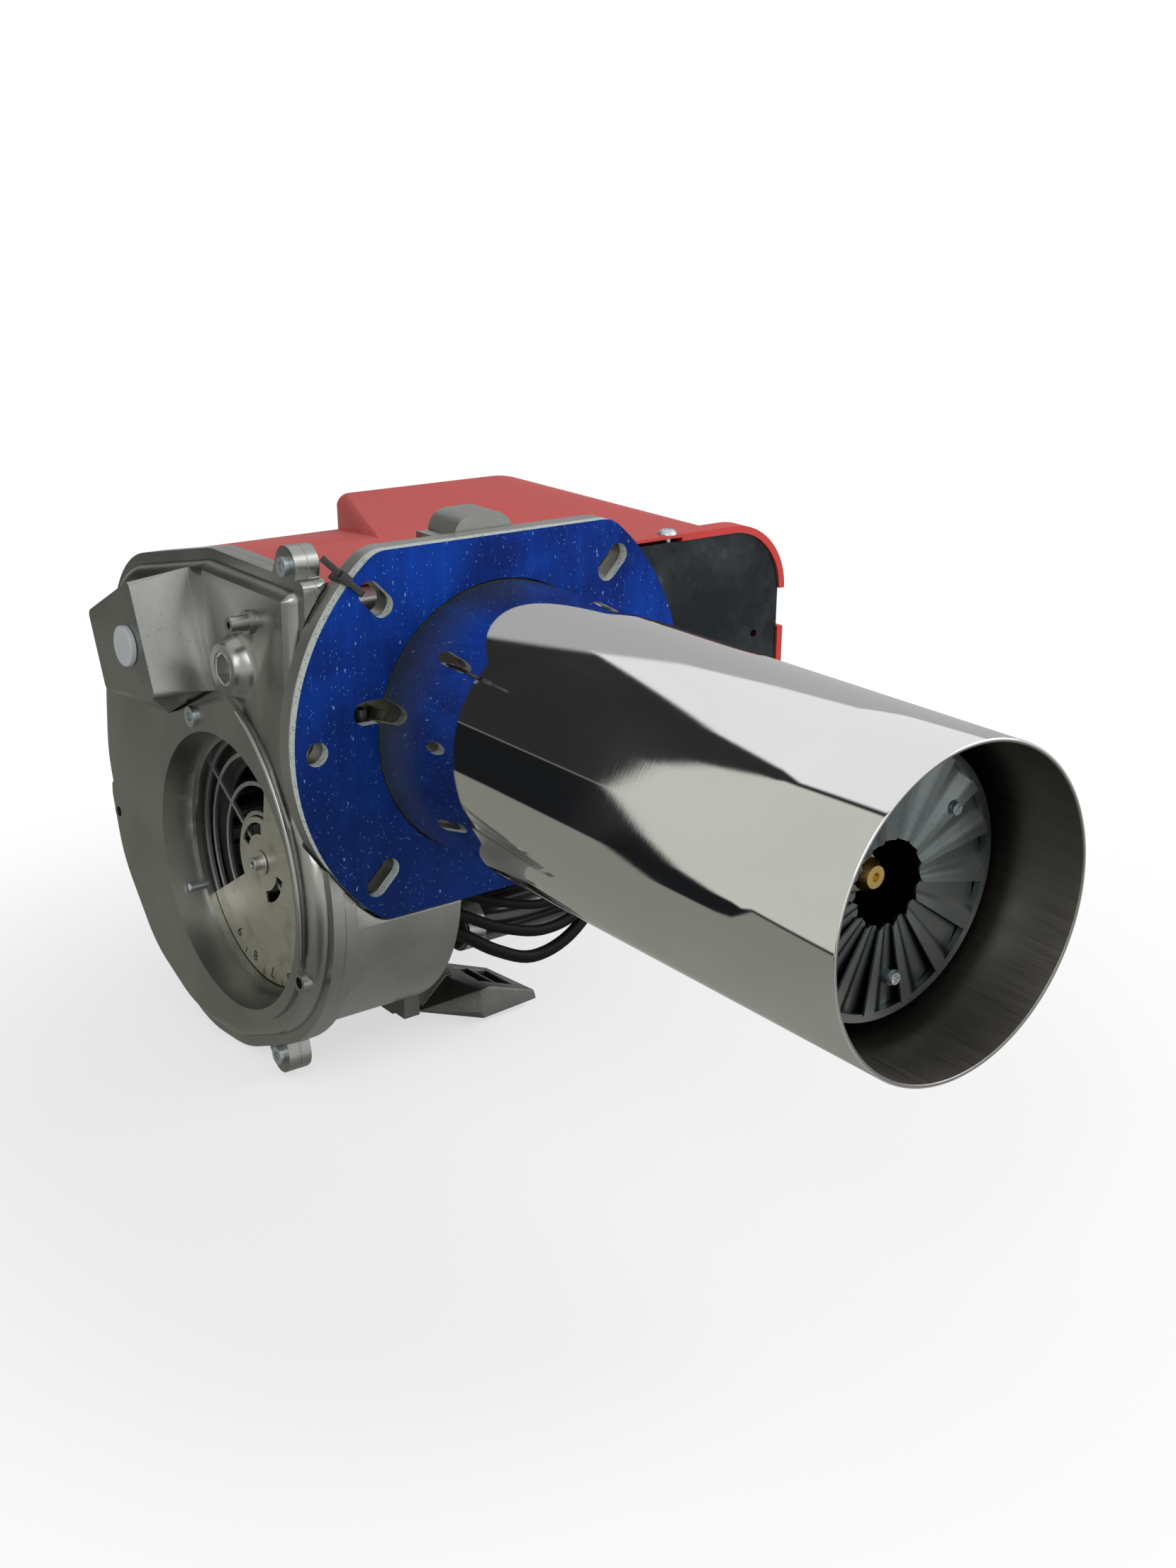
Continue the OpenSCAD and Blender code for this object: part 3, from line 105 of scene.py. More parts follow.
class Expr:
    """A shader socket that takes part in Python arithmetic."""

    def __init__(self, surface: "Shading", socket: NodeSocket) -> None:
        """Wraps a socket.

        Args:
            surface: the tree that the socket belongs to.
            socket: an output socket.
        """
        self.surface = surface
        self.socket = socket

    def __add__(self, other: "Value") -> "Expr":
        """Sum."""
        return self.surface.math("ADD", self, other)

    __radd__ = __add__

    def __mul__(self, other: "Value") -> "Expr":
        """Product."""
        return self.surface.math("MULTIPLY", self, other)

    __rmul__ = __mul__

    def __sub__(self, other: "Value") -> "Expr":
        """Difference."""
        return self.surface.math("SUBTRACT", self, other)

    def __rsub__(self, other: "Value") -> "Expr":
        """Difference from a number."""
        return self.surface.math("SUBTRACT", other, self)

    def __truediv__(self, other: "Value") -> "Expr":
        """Quotient."""
        return self.surface.math("DIVIDE", self, other)

    def above(self, edge: float, soft: float) -> "Expr":
        """Mask that rises from 0 to 1 over soft above edge.

        Args:
            edge: value at which the mask starts to rise.
            soft: how far it takes to reach 1.

        Returns:
            The mask.
        """
        node = self.surface.node("ShaderNodeMapRange", {"interpolation_type": "SMOOTHSTEP", "clamp": True},
                                 {"Value": self, "From Min": edge, "From Max": edge + soft})
        return Expr(self.surface, node.outputs["Result"])

    def below(self, edge: float, soft: float) -> "Expr":
        """Mask that falls from 1 to 0 over soft above edge.

        Args:
            edge: value at which the mask starts to fall.
            soft: how far it takes to reach 0.

        Returns:
            The mask.
        """
        return 1.0 - self.above(edge, soft)


Value = Union[Expr, Number]


def shaded(colour: Colour, factor: float) -> Colour:
    """A colour made darker or lighter.

    Args:
        colour: the colour.
        factor: what each channel is multiplied by.

    Returns:
        The new colour, with no channel above 1.
    """
    return tuple(min(channel * factor, 1.0) for channel in colour)


class Shading:
    """A shader tree under construction, of a material or of the world."""

    def __init__(self, tree: NodeTree) -> None:
        """Takes the tree over.

        Args:
            tree: the shader tree.
        """
        self.tree = tree

    def plug(self, socket: NodeSocket, value: object) -> None:
        """Puts a link or a constant on an input socket.

        Args:
            socket: the input socket.
            value: an Expr, a number, a vector or a colour.
        """
        if isinstance(value, Expr):
            self.tree.links.new(value.socket, socket)
        elif isinstance(value, tuple) and len(value) == 3 and socket.type == "RGBA":
            socket.default_value = (*value, 1.0)
        else:
            socket.default_value = value

    def node(self, kind: str, settings: dict | None = None, inputs: dict | None = None) -> Node:
        """Adds a node, sets its settings first and then its sockets.

        Args:
            kind: Blender's name of the node type.
            settings: attributes of the node, and a colour ramp's places and colours as stops.
            inputs: values or links of its sockets, by name or index.

        Returns:
            The new node.
        """
        node = self.tree.nodes.new(kind)
        for key, value in (settings or {}).items():
            if key == "stops":
                ramp = node.color_ramp
                while len(ramp.elements) < len(value):
                    ramp.elements.new(0.5)
                for element, (place, colour) in zip(ramp.elements, value):
                    element.position = place
                    element.color = (*colour, 1.0)
            else:
                setattr(node, key, value)
        for key, value in (inputs or {}).items():
            self.plug(node.inputs[key], value)
        return node

    def math(self, operation: str, *values: Value) -> Expr:
        """Adds one Math node.

        Args:
            operation: Blender's name of the operation.
            *values: its operands.

        Returns:
            Its result.
        """
        node = self.node("ShaderNodeMath", {"operation": operation}, dict(enumerate(values)))
        return Expr(self, node.outputs[0])

    def place(self, stretch: Point = EVEN) -> Expr:
        """Object coordinates in metres, stretched along the axes.

        Args:
            stretch: factor on each axis.

        Returns:
            The coordinates.
        """
        spot = Expr(self, self.node("ShaderNodeTexCoord").outputs["Object"])
        node = self.node("ShaderNodeVectorMath", {"operation": "MULTIPLY"}, {0: spot, 1: stretch})
        return Expr(self, node.outputs[0])

    def split(self, vector: Expr) -> list[Expr]:
        """The parts of a vector.

        Args:
            vector: the vector.

        Returns:
            Its x, y and z.
        """
        node = self.node("ShaderNodeSeparateXYZ", None, {0: vector})
        return [Expr(self, output) for output in node.outputs]

    def axes(self) -> list[Expr]:
        """The object coordinates in metres, each as a number.

        Returns:
            Their x, y and z.
        """
        return self.split(self.place())

    def noise(self, scale: float, detail: float = 2.0, stretch: Point = EVEN,
              distortion: float = 0.0) -> Expr:
        """Soft noise from 0 to 1.

        Args:
            scale: waves to a metre.
            detail: number of finer octaves.
            stretch: factor on each axis.
            distortion: how much the pattern is warped.

        Returns:
            The noise.
        """
        node = self.node("ShaderNodeTexNoise", None, {
            "Vector": self.place(stretch), "Scale": scale, "Detail": detail, "Distortion": distortion})
        return Expr(self, node.outputs["Fac"])

    def cells(self, scale: float, stretch: Point = EVEN) -> tuple[Expr, Expr]:
        """Cell pattern.

        Args:
            scale: cells to a metre.
            stretch: factor on each axis.

        Returns:
            The distance to the nearest cell's middle, and a random number of each cell.
        """
        node = self.node("ShaderNodeTexVoronoi", None, {"Vector": self.place(stretch), "Scale": scale})
        split = self.node("ShaderNodeSeparateColor", None, {0: Expr(self, node.outputs["Color"])})
        return Expr(self, node.outputs["Distance"]), Expr(self, split.outputs[0])

    def mix(self, factor: Value, low: object, high: object) -> Expr:
        """Mixes two colours.

        Args:
            factor: share of high.
            low: colour at 0.
            high: colour at 1.

        Returns:
            The mixed colour.
        """
        node = self.node("ShaderNodeMix", {"data_type": "RGBA"})
        self.plug(node.inputs[0], factor)
        self.plug(node.inputs[6], low)
        self.plug(node.inputs[7], high)
        return Expr(self, node.outputs[2])


class Surface(Shading):
    """One procedural material under construction."""

    def __init__(self, name: str) -> None:
        """Starts a material with one Principled shader.

        Args:
            name: name of the material.
        """
        self.material = bpy.data.materials.new(name)
        self.material.use_nodes = True
        super().__init__(self.material.node_tree)
        self.shader = self.tree.nodes["Principled BSDF"]

    def bump(self, height: Expr, depth: float, strength: float = 1.0) -> None:
        """Gives the surface a relief.

        Args:
            height: pattern from 0 to 1.
            depth: height of the pattern in metres.
            strength: how strongly it shows.
        """
        node = self.node("ShaderNodeBump", None, {"Height": height, "Distance": depth, "Strength": strength})
        self.plug(self.shader.inputs["Normal"], Expr(self, node.outputs[0]))

    def finish(self, **sockets: object) -> Material:
        """Sets the shader's own sockets and hands the material over.

        Args:
            **sockets: values by socket name, with underscores for spaces.

        Returns:
            The material.
        """
        for key, value in sockets.items():
            self.plug(self.shader.inputs[key.replace("_", " ").title().replace("Ior", "IOR")], value)
        return self.material


@dataclass(frozen=True)
class CastMetal:
    """Sand cast light alloy with a fine skin and faint clouds."""

    name: str
    dark: Colour = (0.27, 0.275, 0.262)
    light: Colour = (0.37, 0.375, 0.358)
    rough: float = 0.24
    grain: float = 1100.0
    relief: float = 0.00005

    def build(self) -> Material:
        """Makes the material.

        Returns:
            The material.
        """
        s = Surface(self.name)
        cloud = s.noise(18.0, 4.0)
        skin = s.noise(self.grain, 3.0)
        pits = s.noise(self.grain * 0.3, 2.0).below(0.27, 0.06)
        tone = cloud * 0.7 + skin * 0.3
        colour = s.mix(tone.above(0.3, 0.4), self.dark, self.light)
        colour = s.mix(pits * 0.3, colour, shaded(self.dark, 0.5))
        s.bump(skin * 0.8 + cloud * 0.2 - pits * 0.3, self.relief)
        return s.finish(base_color=colour, metallic=1.0, roughness=self.rough + cloud * 0.08 + skin * 0.05)


@dataclass(frozen=True)
class TurnedMetal:
    """Bare, brushed or plated metal."""

    name: str
    colour: Colour = (0.6, 0.61, 0.62)
    rough: float = 0.3
    brush: Point = EVEN
    brush_scale: float = 900.0
    stain: Colour | None = None
    stain_share: float = 0.45

    def build(self) -> Material:
        """Makes the material.

        Returns:
            The material.
        """
        s = Surface(self.name)
        lines = s.noise(self.brush_scale, 3.0, self.brush)
        cloud = s.noise(60.0, 4.0)
        colour = s.mix(lines, shaded(self.colour, 0.82), shaded(self.colour, 1.12))
        if self.stain is not None:
            colour = s.mix(cloud.above(1.0 - self.stain_share, 0.25) * 0.6, colour, self.stain)
        s.bump(lines, 0.00002, 0.6)
        return s.finish(base_color=colour, metallic=1.0, roughness=self.rough + lines * 0.12 + cloud * 0.08)


@dataclass(frozen=True)
class Moulding:
    """Plastic, rubber or paint in one colour with a fine skin."""

    name: str
    colour: Colour
    rough: float = 0.45
    coat: float = 0.0
    relief: float = 0.00004
    grain: float = 900.0
    shine: float = 0.5

    def build(self) -> Material:
        """Makes the material.

        Returns:
            The material.
        """
        s = Surface(self.name)
        skin = s.noise(self.grain, 2.0)
        cloud = s.noise(35.0, 4.0)
        colour = s.mix(cloud, shaded(self.colour, 0.85), shaded(self.colour, 1.1))
        s.bump(skin, self.relief, 0.7)
        return s.finish(base_color=colour, coat_weight=self.coat, coat_roughness=0.12,
                        roughness=self.rough + cloud * 0.1, specular_ior_level=self.shine)


@dataclass(frozen=True)
class TubeSteel:
    """Polished stainless outside, with painted shade beside the flange, and dull with heat colours inside.
    """

    name: str = "tube_polished"
    inner_r: float = 0.079
    rim_y: float = -0.354
    # Span along the tube over which the painted shade beside the flange fades in.
    flange_side: Pair = (-0.05, 0.05)
    burnt_from: float = 0.03
    burnt_over: float = 0.05

    def build(self) -> Material:
        """Makes the material.

        Returns:
            The material.
        """
        s = Surface(self.name)
        x, y, z = s.axes()
        # Painted shade: over the last 5 cm before the flange the outside is painted darker and yellow-grey,
        # which dims the flange's mirrored blue.
        painted_flange_shade = y.above(*self.flange_side)
        radius = s.math("SQRT", x * x + z * z)
        inside = radius.below(self.inner_r, 0.0003)
        turned = s.noise(60.0, 4.0, (0.4, 40.0, 0.4))
        haze = s.noise(14.0, 5.0, (1.0, 0.35, 1.0), 0.6)
        drawn = s.noise(90.0, 3.0, (7.0, 0.25, 7.0))
        smudge = s.noise(11.0, 6.0, (1.0, 0.5, 1.0), 0.8).above(0.45, 0.3)
        outer = s.mix(haze, (0.66, 0.665, 0.67), (0.80, 0.80, 0.80))
        # Painted shade beside the flange.
        outer = s.mix(painted_flange_shade * 0.9, outer, (0.31, 0.33, 0.22))
        bore = s.mix(drawn, (0.23, 0.215, 0.195), (0.31, 0.295, 0.27))
        burnt = y.above(self.rim_y + self.burnt_from, self.burnt_over)
        bore = s.mix(burnt * haze, bore, (0.10, 0.075, 0.055))
        colour = s.mix(inside, outer, bore)
        rough = (1.0 - inside) * (0.010 + haze * 0.03 + turned * 0.02) + inside * (0.32 + drawn * 0.14)
        s.bump(turned * 0.8 + haze * 0.2, 0.000008, 0.35)
        # The painted shade beside the flange also takes a little off the metal's mirror, and smudges take
        # some off everywhere.
        bare = 1.0 - painted_flange_shade * 0.06 - smudge * 0.05
        return s.finish(base_color=colour, metallic=bare, roughness=rough)


@dataclass(frozen=True)
class FacingFilm:
    """Cobalt film with rubbed streaks and pale flecks, darker low down, and with a teal edge."""

    name: str = "film_cobalt"
    soil_slant: float = 0.6
    soil_edge: Pair = (-0.16, 0.24)

    def build(self) -> Material:
        """Makes the material.

        Returns:
            The material.
        """
        s = Surface(self.name)
        cloud = s.noise(16.0, 5.0, distortion=0.6)
        streak = s.noise(150.0, 5.0, (1.0, 1.0, 0.12))
        run = s.noise(420.0, 3.0, (1.0, 1.0, 0.10))
        fine = s.noise(900.0, 3.0, (1.0, 1.0, 0.4))
        fleck = self.flecks(s, 260.0, 0.13, 0.64)
        dust = self.flecks(s, 800.0, 0.20, 0.62)
        x, _, z = s.axes()
        # Darker towards the lower left: full where z plus 0.6 x is below -0.16, and fading out by 0.08.
        low_darkening = (z + x * self.soil_slant).below(*self.soil_edge)
        smear = run.above(0.60, 0.14) * s.noise(60.0, 3.0).above(0.50, 0.12)
        shade = (cloud * 0.62 + streak * 0.20 + fine * 0.18).above(0.36, 0.30)
        colour = s.mix(shade, (0.001, 0.014, 0.13), (0.002, 0.042, 0.33))
        colour = s.mix(streak.above(0.60, 0.2) * 0.25, colour, (0.004, 0.085, 0.50))
        colour = s.mix(smear * 0.30, colour, (0.04, 0.19, 0.52))
        colour = s.mix(low_darkening * (0.35 + cloud * 0.3), colour, (0.004, 0.016, 0.055))
        colour = s.mix(fleck * 0.7 + dust * 0.5, colour, (0.24, 0.42, 0.66))
        facing = s.split(Expr(s, s.node("ShaderNodeNewGeometry").outputs["Normal"]))
        edge = s.math("ABSOLUTE", facing[1]).below(0.3, 0.3)
        colour = s.mix(edge, colour, (0.02, 0.13, 0.13))
        s.bump(streak * 0.5 + cloud * 0.5, 0.00005, 0.5)
        rough = 0.42 + streak * 0.15 + fleck * 0.2
        return s.finish(base_color=colour, roughness=rough, specular_ior_level=0.08)

    def flecks(self, s: Surface, scale: float, size: float, share: float) -> Expr:
        """Small torn specks, each with its own size.

        Args:
            s: the material.
            scale: specks to a metre, before most are left out.
            size: the largest speck, as a share of its cell.
            share: share of the cells that are left out.

        Returns:
            Their mask.
        """
        distance, pick = s.cells(scale, (1.0, 1.0, 0.4))
        torn = distance + s.noise(scale * 6.0, 3.0) * size * 1.6 - size * 0.8
        return torn.below(size * 0.6, size * 0.5) * pick.above(share, 0.1)


@dataclass(frozen=True)
class PressedFibre:
    """Gasket board: pale with dark and light specks."""

    name: str = "gasket_fibre"

    def build(self) -> Material:
        """Makes the material.

        Returns:
            The material.
        """
        s = Surface(self.name)
        distance, pick = s.cells(900.0)
        fibre = s.noise(420.0, 3.0, (1.0, 3.0, 1.0))
        colour = s.mix(fibre, (0.36, 0.40, 0.39), (0.60, 0.64, 0.62))
        colour = s.mix(distance.below(0.35, 0.2) * pick.above(0.7, 0.05), colour, (0.16, 0.2, 0.2))
        s.bump(fibre * 0.6 + distance * 0.4, 0.0002)
        return s.finish(base_color=colour, roughness=0.86)


@dataclass(frozen=True)
class Galvanised:
    """Zinc coated sheet with dark spangles and pale blooms."""

    name: str = "galvanised_sheet"

    def build(self) -> Material:
        """Makes the material.

        Returns:
            The material.
        """
        s = Surface(self.name)
        distance, pick = s.cells(75.0)
        small, tint = s.cells(230.0)
        cloud = s.noise(24.0, 6.0, distortion=0.3)
        tone = pick * 0.10 + tint * 0.08 + cloud * 0.82
        colour = s.mix(tone.above(0.35, 0.4), (0.017, 0.021, 0.025), (0.042, 0.050, 0.055))
        colour = s.mix(cloud.above(0.66, 0.10) * 0.5, colour, (0.15, 0.165, 0.165))
        s.bump(small * 0.5 + distance * 0.5, 0.00001, 0.3)
        return s.finish(base_color=colour, metallic=0.85, roughness=0.34 + cloud * 0.15)


@dataclass(frozen=True)
class GlossPaint:
    """Baked enamel on sheet steel, with faint dust."""

    name: str = "cover_enamel"
    colour: Colour = (0.50, 0.028, 0.022)

    def build(self) -> Material:
        """Makes the material.

        Returns:
            The material.
        """
        s = Surface(self.name)
        peel = s.noise(420.0, 2.0)
        cloud = s.noise(9.0, 4.0)
        grain, pick = s.cells(900.0)
        dust = grain.below(0.2, 0.12) * pick.above(0.9, 0.02)
        colour = s.mix(cloud, shaded(self.colour, 0.88), shaded(self.colour, 1.08))
        colour = s.mix(dust * 0.3, colour, (0.6, 0.4, 0.38))
        s.bump(peel, 0.00005, 0.35)
        return s.finish(base_color=colour, roughness=0.42 + cloud * 0.1)


class Finish(Enum):
    """The finishes of the burner, by record slot."""

    CAST = ("cast", CastMetal("cast_alloy"))
    CAST_FINE = ("cast", CastMetal("cast_alloy_fine", grain=1300.0, relief=0.00006, rough=0.36))
    CAST_DARK = ("cast", CastMetal("cast_foot", (0.09, 0.09, 0.086), (0.20, 0.20, 0.19), 0.45))
    WHEEL = ("cast", TurnedMetal("wheel_zinc", (0.10, 0.10, 0.10), 0.5, stain=(0.05, 0.05, 0.045)))
    TUBE = ("polished", TubeSteel())
    FILM = ("film_blue", FacingFilm())
    FIBRE = ("gasket", PressedFibre())
    ENAMEL = ("cover_red", GlossPaint())
    SHEET = ("galvanised", Galvanised())
    ZINC = ("zinc", TurnedMetal("zinc_screw", (0.56, 0.62, 0.66), 0.26))
    ZINC_CAST = ("zinc", CastMetal("zinc_cast", (0.26, 0.29, 0.30), (0.44, 0.475, 0.485),
                                   0.3, 1500.0, 0.00005))
    DISC_CAST = ("zinc", CastMetal("diffuser_cast", (0.11, 0.127, 0.131), (0.205, 0.23, 0.234),
                                   0.24, 1500.0, 0.00008))
    STEEL = ("steel", TurnedMetal("bare_steel", (0.58, 0.57, 0.56), 0.28, (1.0, 6.0, 1.0)))
    DISC = ("steel", TurnedMetal("disc_steel", (0.56, 0.54, 0.47), 0.34, (6.0, 0.4, 1.6), 320.0,
                                 (0.33, 0.28, 0.2), 0.5))
    WIRE = ("zinc", TurnedMetal("grille_wire", (0.42, 0.43, 0.43), 0.36))
    BRASS = ("brass", TurnedMetal("brass_turned", (0.66, 0.46, 0.16), 0.22, (1.0, 9.0, 1.0)))
    COPPER = ("copper", TurnedMetal("copper_tube", (0.68, 0.33, 0.2), 0.28, stain=(0.3, 0.14, 0.09)))
    BLACK = ("black_plastic", Moulding("black_moulding", (0.018, 0.018, 0.02), 0.42))
    BLACK_PAINT = ("black_paint", Moulding("black_enamel", (0.014, 0.014, 0.016), 0.22, 0.5, 0.00006, 500.0))
    RUBBER = ("cable_black", Moulding("cable_sheath", (0.004, 0.004, 0.005), 0.5, shine=0.12))
    CLEAR = ("clear_plastic", Moulding("plug_clear", (0.46, 0.49, 0.51), 0.25, 0.3))
    PORCELAIN = ("porcelain", Moulding("porcelain_glaze", (0.78, 0.75, 0.67), 0.12, 0.6))
    WINDING = ("winding", Moulding("winding_lacquer", (0.30, 0.15, 0.07), 0.3, 0.3, 0.0002, 700.0))
    COUPLING = ("coupling", Moulding("coupling_rubber", (0.62, 0.24, 0.04), 0.5))
    BUTTON = ("button_red", Moulding("button_gloss", (0.5, 0.03, 0.02), 0.2, 0.4))

    @property
    def slot(self) -> str:
        """The record's material slot."""
        return self.value[0]

    def material(self) -> Material:
        """The finish's material, made once.

        Returns:
            The material.
        """
        found = bpy.data.materials.get(self.value[1].name)
        return found or self.value[1].build()


def wear(piece: Object, finish: Finish) -> None:
    """Gives a whole object one finish.

    Args:
        piece: the object.
        finish: its finish.
    """
    piece.data.materials.clear()
    piece.data.materials.append(finish.material())


def stand(name: str, data: ID) -> Object:
    """Puts a new object into the scene.

    Args:
        name: the object's name.
        data: its mesh, curve, lamp or camera.

    Returns:
        The object.
    """
    holder = bpy.data.objects.new(name, data)
    bpy.context.scene.collection.objects.link(holder)
    return holder


def as_mesh(curve: Curve) -> Mesh:
    """Turns a curve or a text into a mesh.

    Args:
        curve: the curve or text.

    Returns:
        Its mesh, with nothing left in the scene.
    """
    holder = stand(f"{curve.name}_curve", curve)
    data = bpy.data.meshes.new_from_object(holder)
    bpy.data.objects.remove(holder)
    return data


def new_piece(name: str, mesh: BMesh, smooth_deg: float = 35.0) -> Object:
    """Turns a bmesh into an object in the scene.

    Args:
        name: the object's name.
        mesh: the bmesh, which is freed.
        smooth_deg: edges flatter than this are shaded smooth.

    Returns:
        The object.
    """
    data = bpy.data.meshes.new(name)
    mesh.to_mesh(data)
    mesh.free()
    data.polygons.foreach_set("use_smooth", [True] * len(data.polygons))
    data.set_sharp_from_angle(angle=math.radians(smooth_deg))
    return stand(name, data)


def spin_round_tube(mesh: BMesh, section: Sequence[Pair], sides: int) -> None:
    """Spins a closed section fully round the tube's axis and joins its seam.

    Args:
        mesh: the bmesh to add to.
        section: points by distance from the axis and by place along it.
        sides: number of steps.
    """
    ring = [mesh.verts.new((radius, y, 0.0)) for radius, y in section]
    edges = [mesh.edges.new((a, b)) for a, b in zip(ring, ring[1:] + ring[:1])]
    bmesh.ops.spin(mesh, geom=ring + edges, cent=(0, 0, 0), axis=(0, 1, 0), angle=math.tau,
                   steps=sides, use_merge=True, use_duplicate=False)
    bmesh.ops.remove_doubles(mesh, verts=mesh.verts, dist=SEAM)


def settle(piece: Object, body: Body, finish: Finish, *nodes: str) -> None:
    """Lets a finished piece ride on a body, in a finish, in the place of CAD nodes.

    Args:
        piece: the piece.
        body: the body that it rides on.
        finish: its finish.
        *nodes: the CAD nodes that it stands for.
    """
    wear(piece, finish)
    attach(piece, body.value)
    if nodes:
        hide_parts(*nodes)
    LOG.info("%s rides on %s", piece.name, body.value)


@dataclass
class NodeSkin:
    """A merged, smooth shaded copy of a CAD node whose sharp edges are broken."""

    node: str
    finish: Finish
    body: Body = Body.BURNER
    edge_mm: float = 0.4
    edge_deg: float = 38.0
    segments: int = 2
    clamp: bool = True

    def shape(self, mesh: BMesh) -> None:
        """Changes the copy's form where a node needs it.

        Args:
            mesh: the merged copy.
        """

    def build(self, frame: dict) -> None:
        """Makes the skin, which replaces its node.
        """
        mesh = bmesh.new()
        mesh.from_mesh(frame["nodes"][self.node].data)
        bmesh.ops.remove_doubles(mesh, verts=mesh.verts, dist=WELD)
        bmesh.ops.dissolve_degenerate(mesh, edges=mesh.edges, dist=SLIVER)
        bmesh.ops.dissolve_limit(mesh, angle_limit=math.radians(FLAT_DEG), verts=mesh.verts,
                                 edges=mesh.edges, delimit={"NORMAL"})
        self.shape(mesh)
        piece = new_piece(f"{self.node}_skin", mesh, self.edge_deg)
        if self.edge_mm > 0:
            bevel = piece.modifiers.new("edge", "BEVEL")
            bevel.width = self.edge_mm * MM
            bevel.affect = "EDGES"
            bevel.segments = self.segments
            bevel.profile = 0.5
            bevel.material = -1
            bevel.limit_method = "ANGLE"
            bevel.angle_limit = math.radians(self.edge_deg)
            bevel.harden_normals = True
            bevel.use_clamp_overlap = self.clamp
        settle(piece, self.body, self.finish, self.node)


@dataclass
class CoverSkin(NodeSkin):
    """The cover's skin, with its fold's crease and its rear corner pressed round."""

    creases: tuple[tuple[Point, Point, float], ...] = (
        ((3.0, 134.0, 80.0), (52.0, 270.0, 80.0), 9.0),
        ((52.0, 270.0, 80.0), (52.0, 270.0, 0.0), 7.0),
    )
    reach: float = 0.0045
    shortest: float = 0.012
    flattest_rad: float = 0.3
    steps: int = 6

    def shape(self, mesh: BMesh) -> None:
        """Rounds the edges that lie along the creases, on the sheet's both faces.

        Args:
            mesh: the merged copy.
        """
        for start, end, width in self.creases:
            a, b = Vector(start) * MM, Vector(end) * MM
            along = b - a
            chosen = []
            for edge in mesh.edges:
                spots = [v.co for v in edge.verts]
                shares = [(p - a).dot(along) / along.length_squared for p in spots]
                near = all((p - a - along * t).length < self.reach for p, t in zip(spots, shares))
                whole = near and edge.is_manifold and edge.calc_length() > self.shortest
                if whole and edge.calc_face_angle() > self.flattest_rad:
                    chosen.append(edge)
            LOG.info("crease of %d edges", len(chosen))
            bmesh.ops.bevel(mesh, geom=chosen, offset=width * MM, offset_type="OFFSET", segments=self.steps,
                            profile=0.5, affect="EDGES", material=-1, clamp_overlap=False)


@dataclass
class ScrewSkin(NodeSkin):
    """The diffuser's screws, with their heads drawn in onto the vanes."""

    drawn_mm: float = 1.7
    neck_y: float = -0.3103

    def shape(self, mesh: BMesh) -> None:
        """Moves the heads back along the screws.

        Args:
            mesh: the merged copy.
        """
        for vert in mesh.verts:
            if vert.co.y < self.neck_y:
                vert.co.y += self.drawn_mm * MM


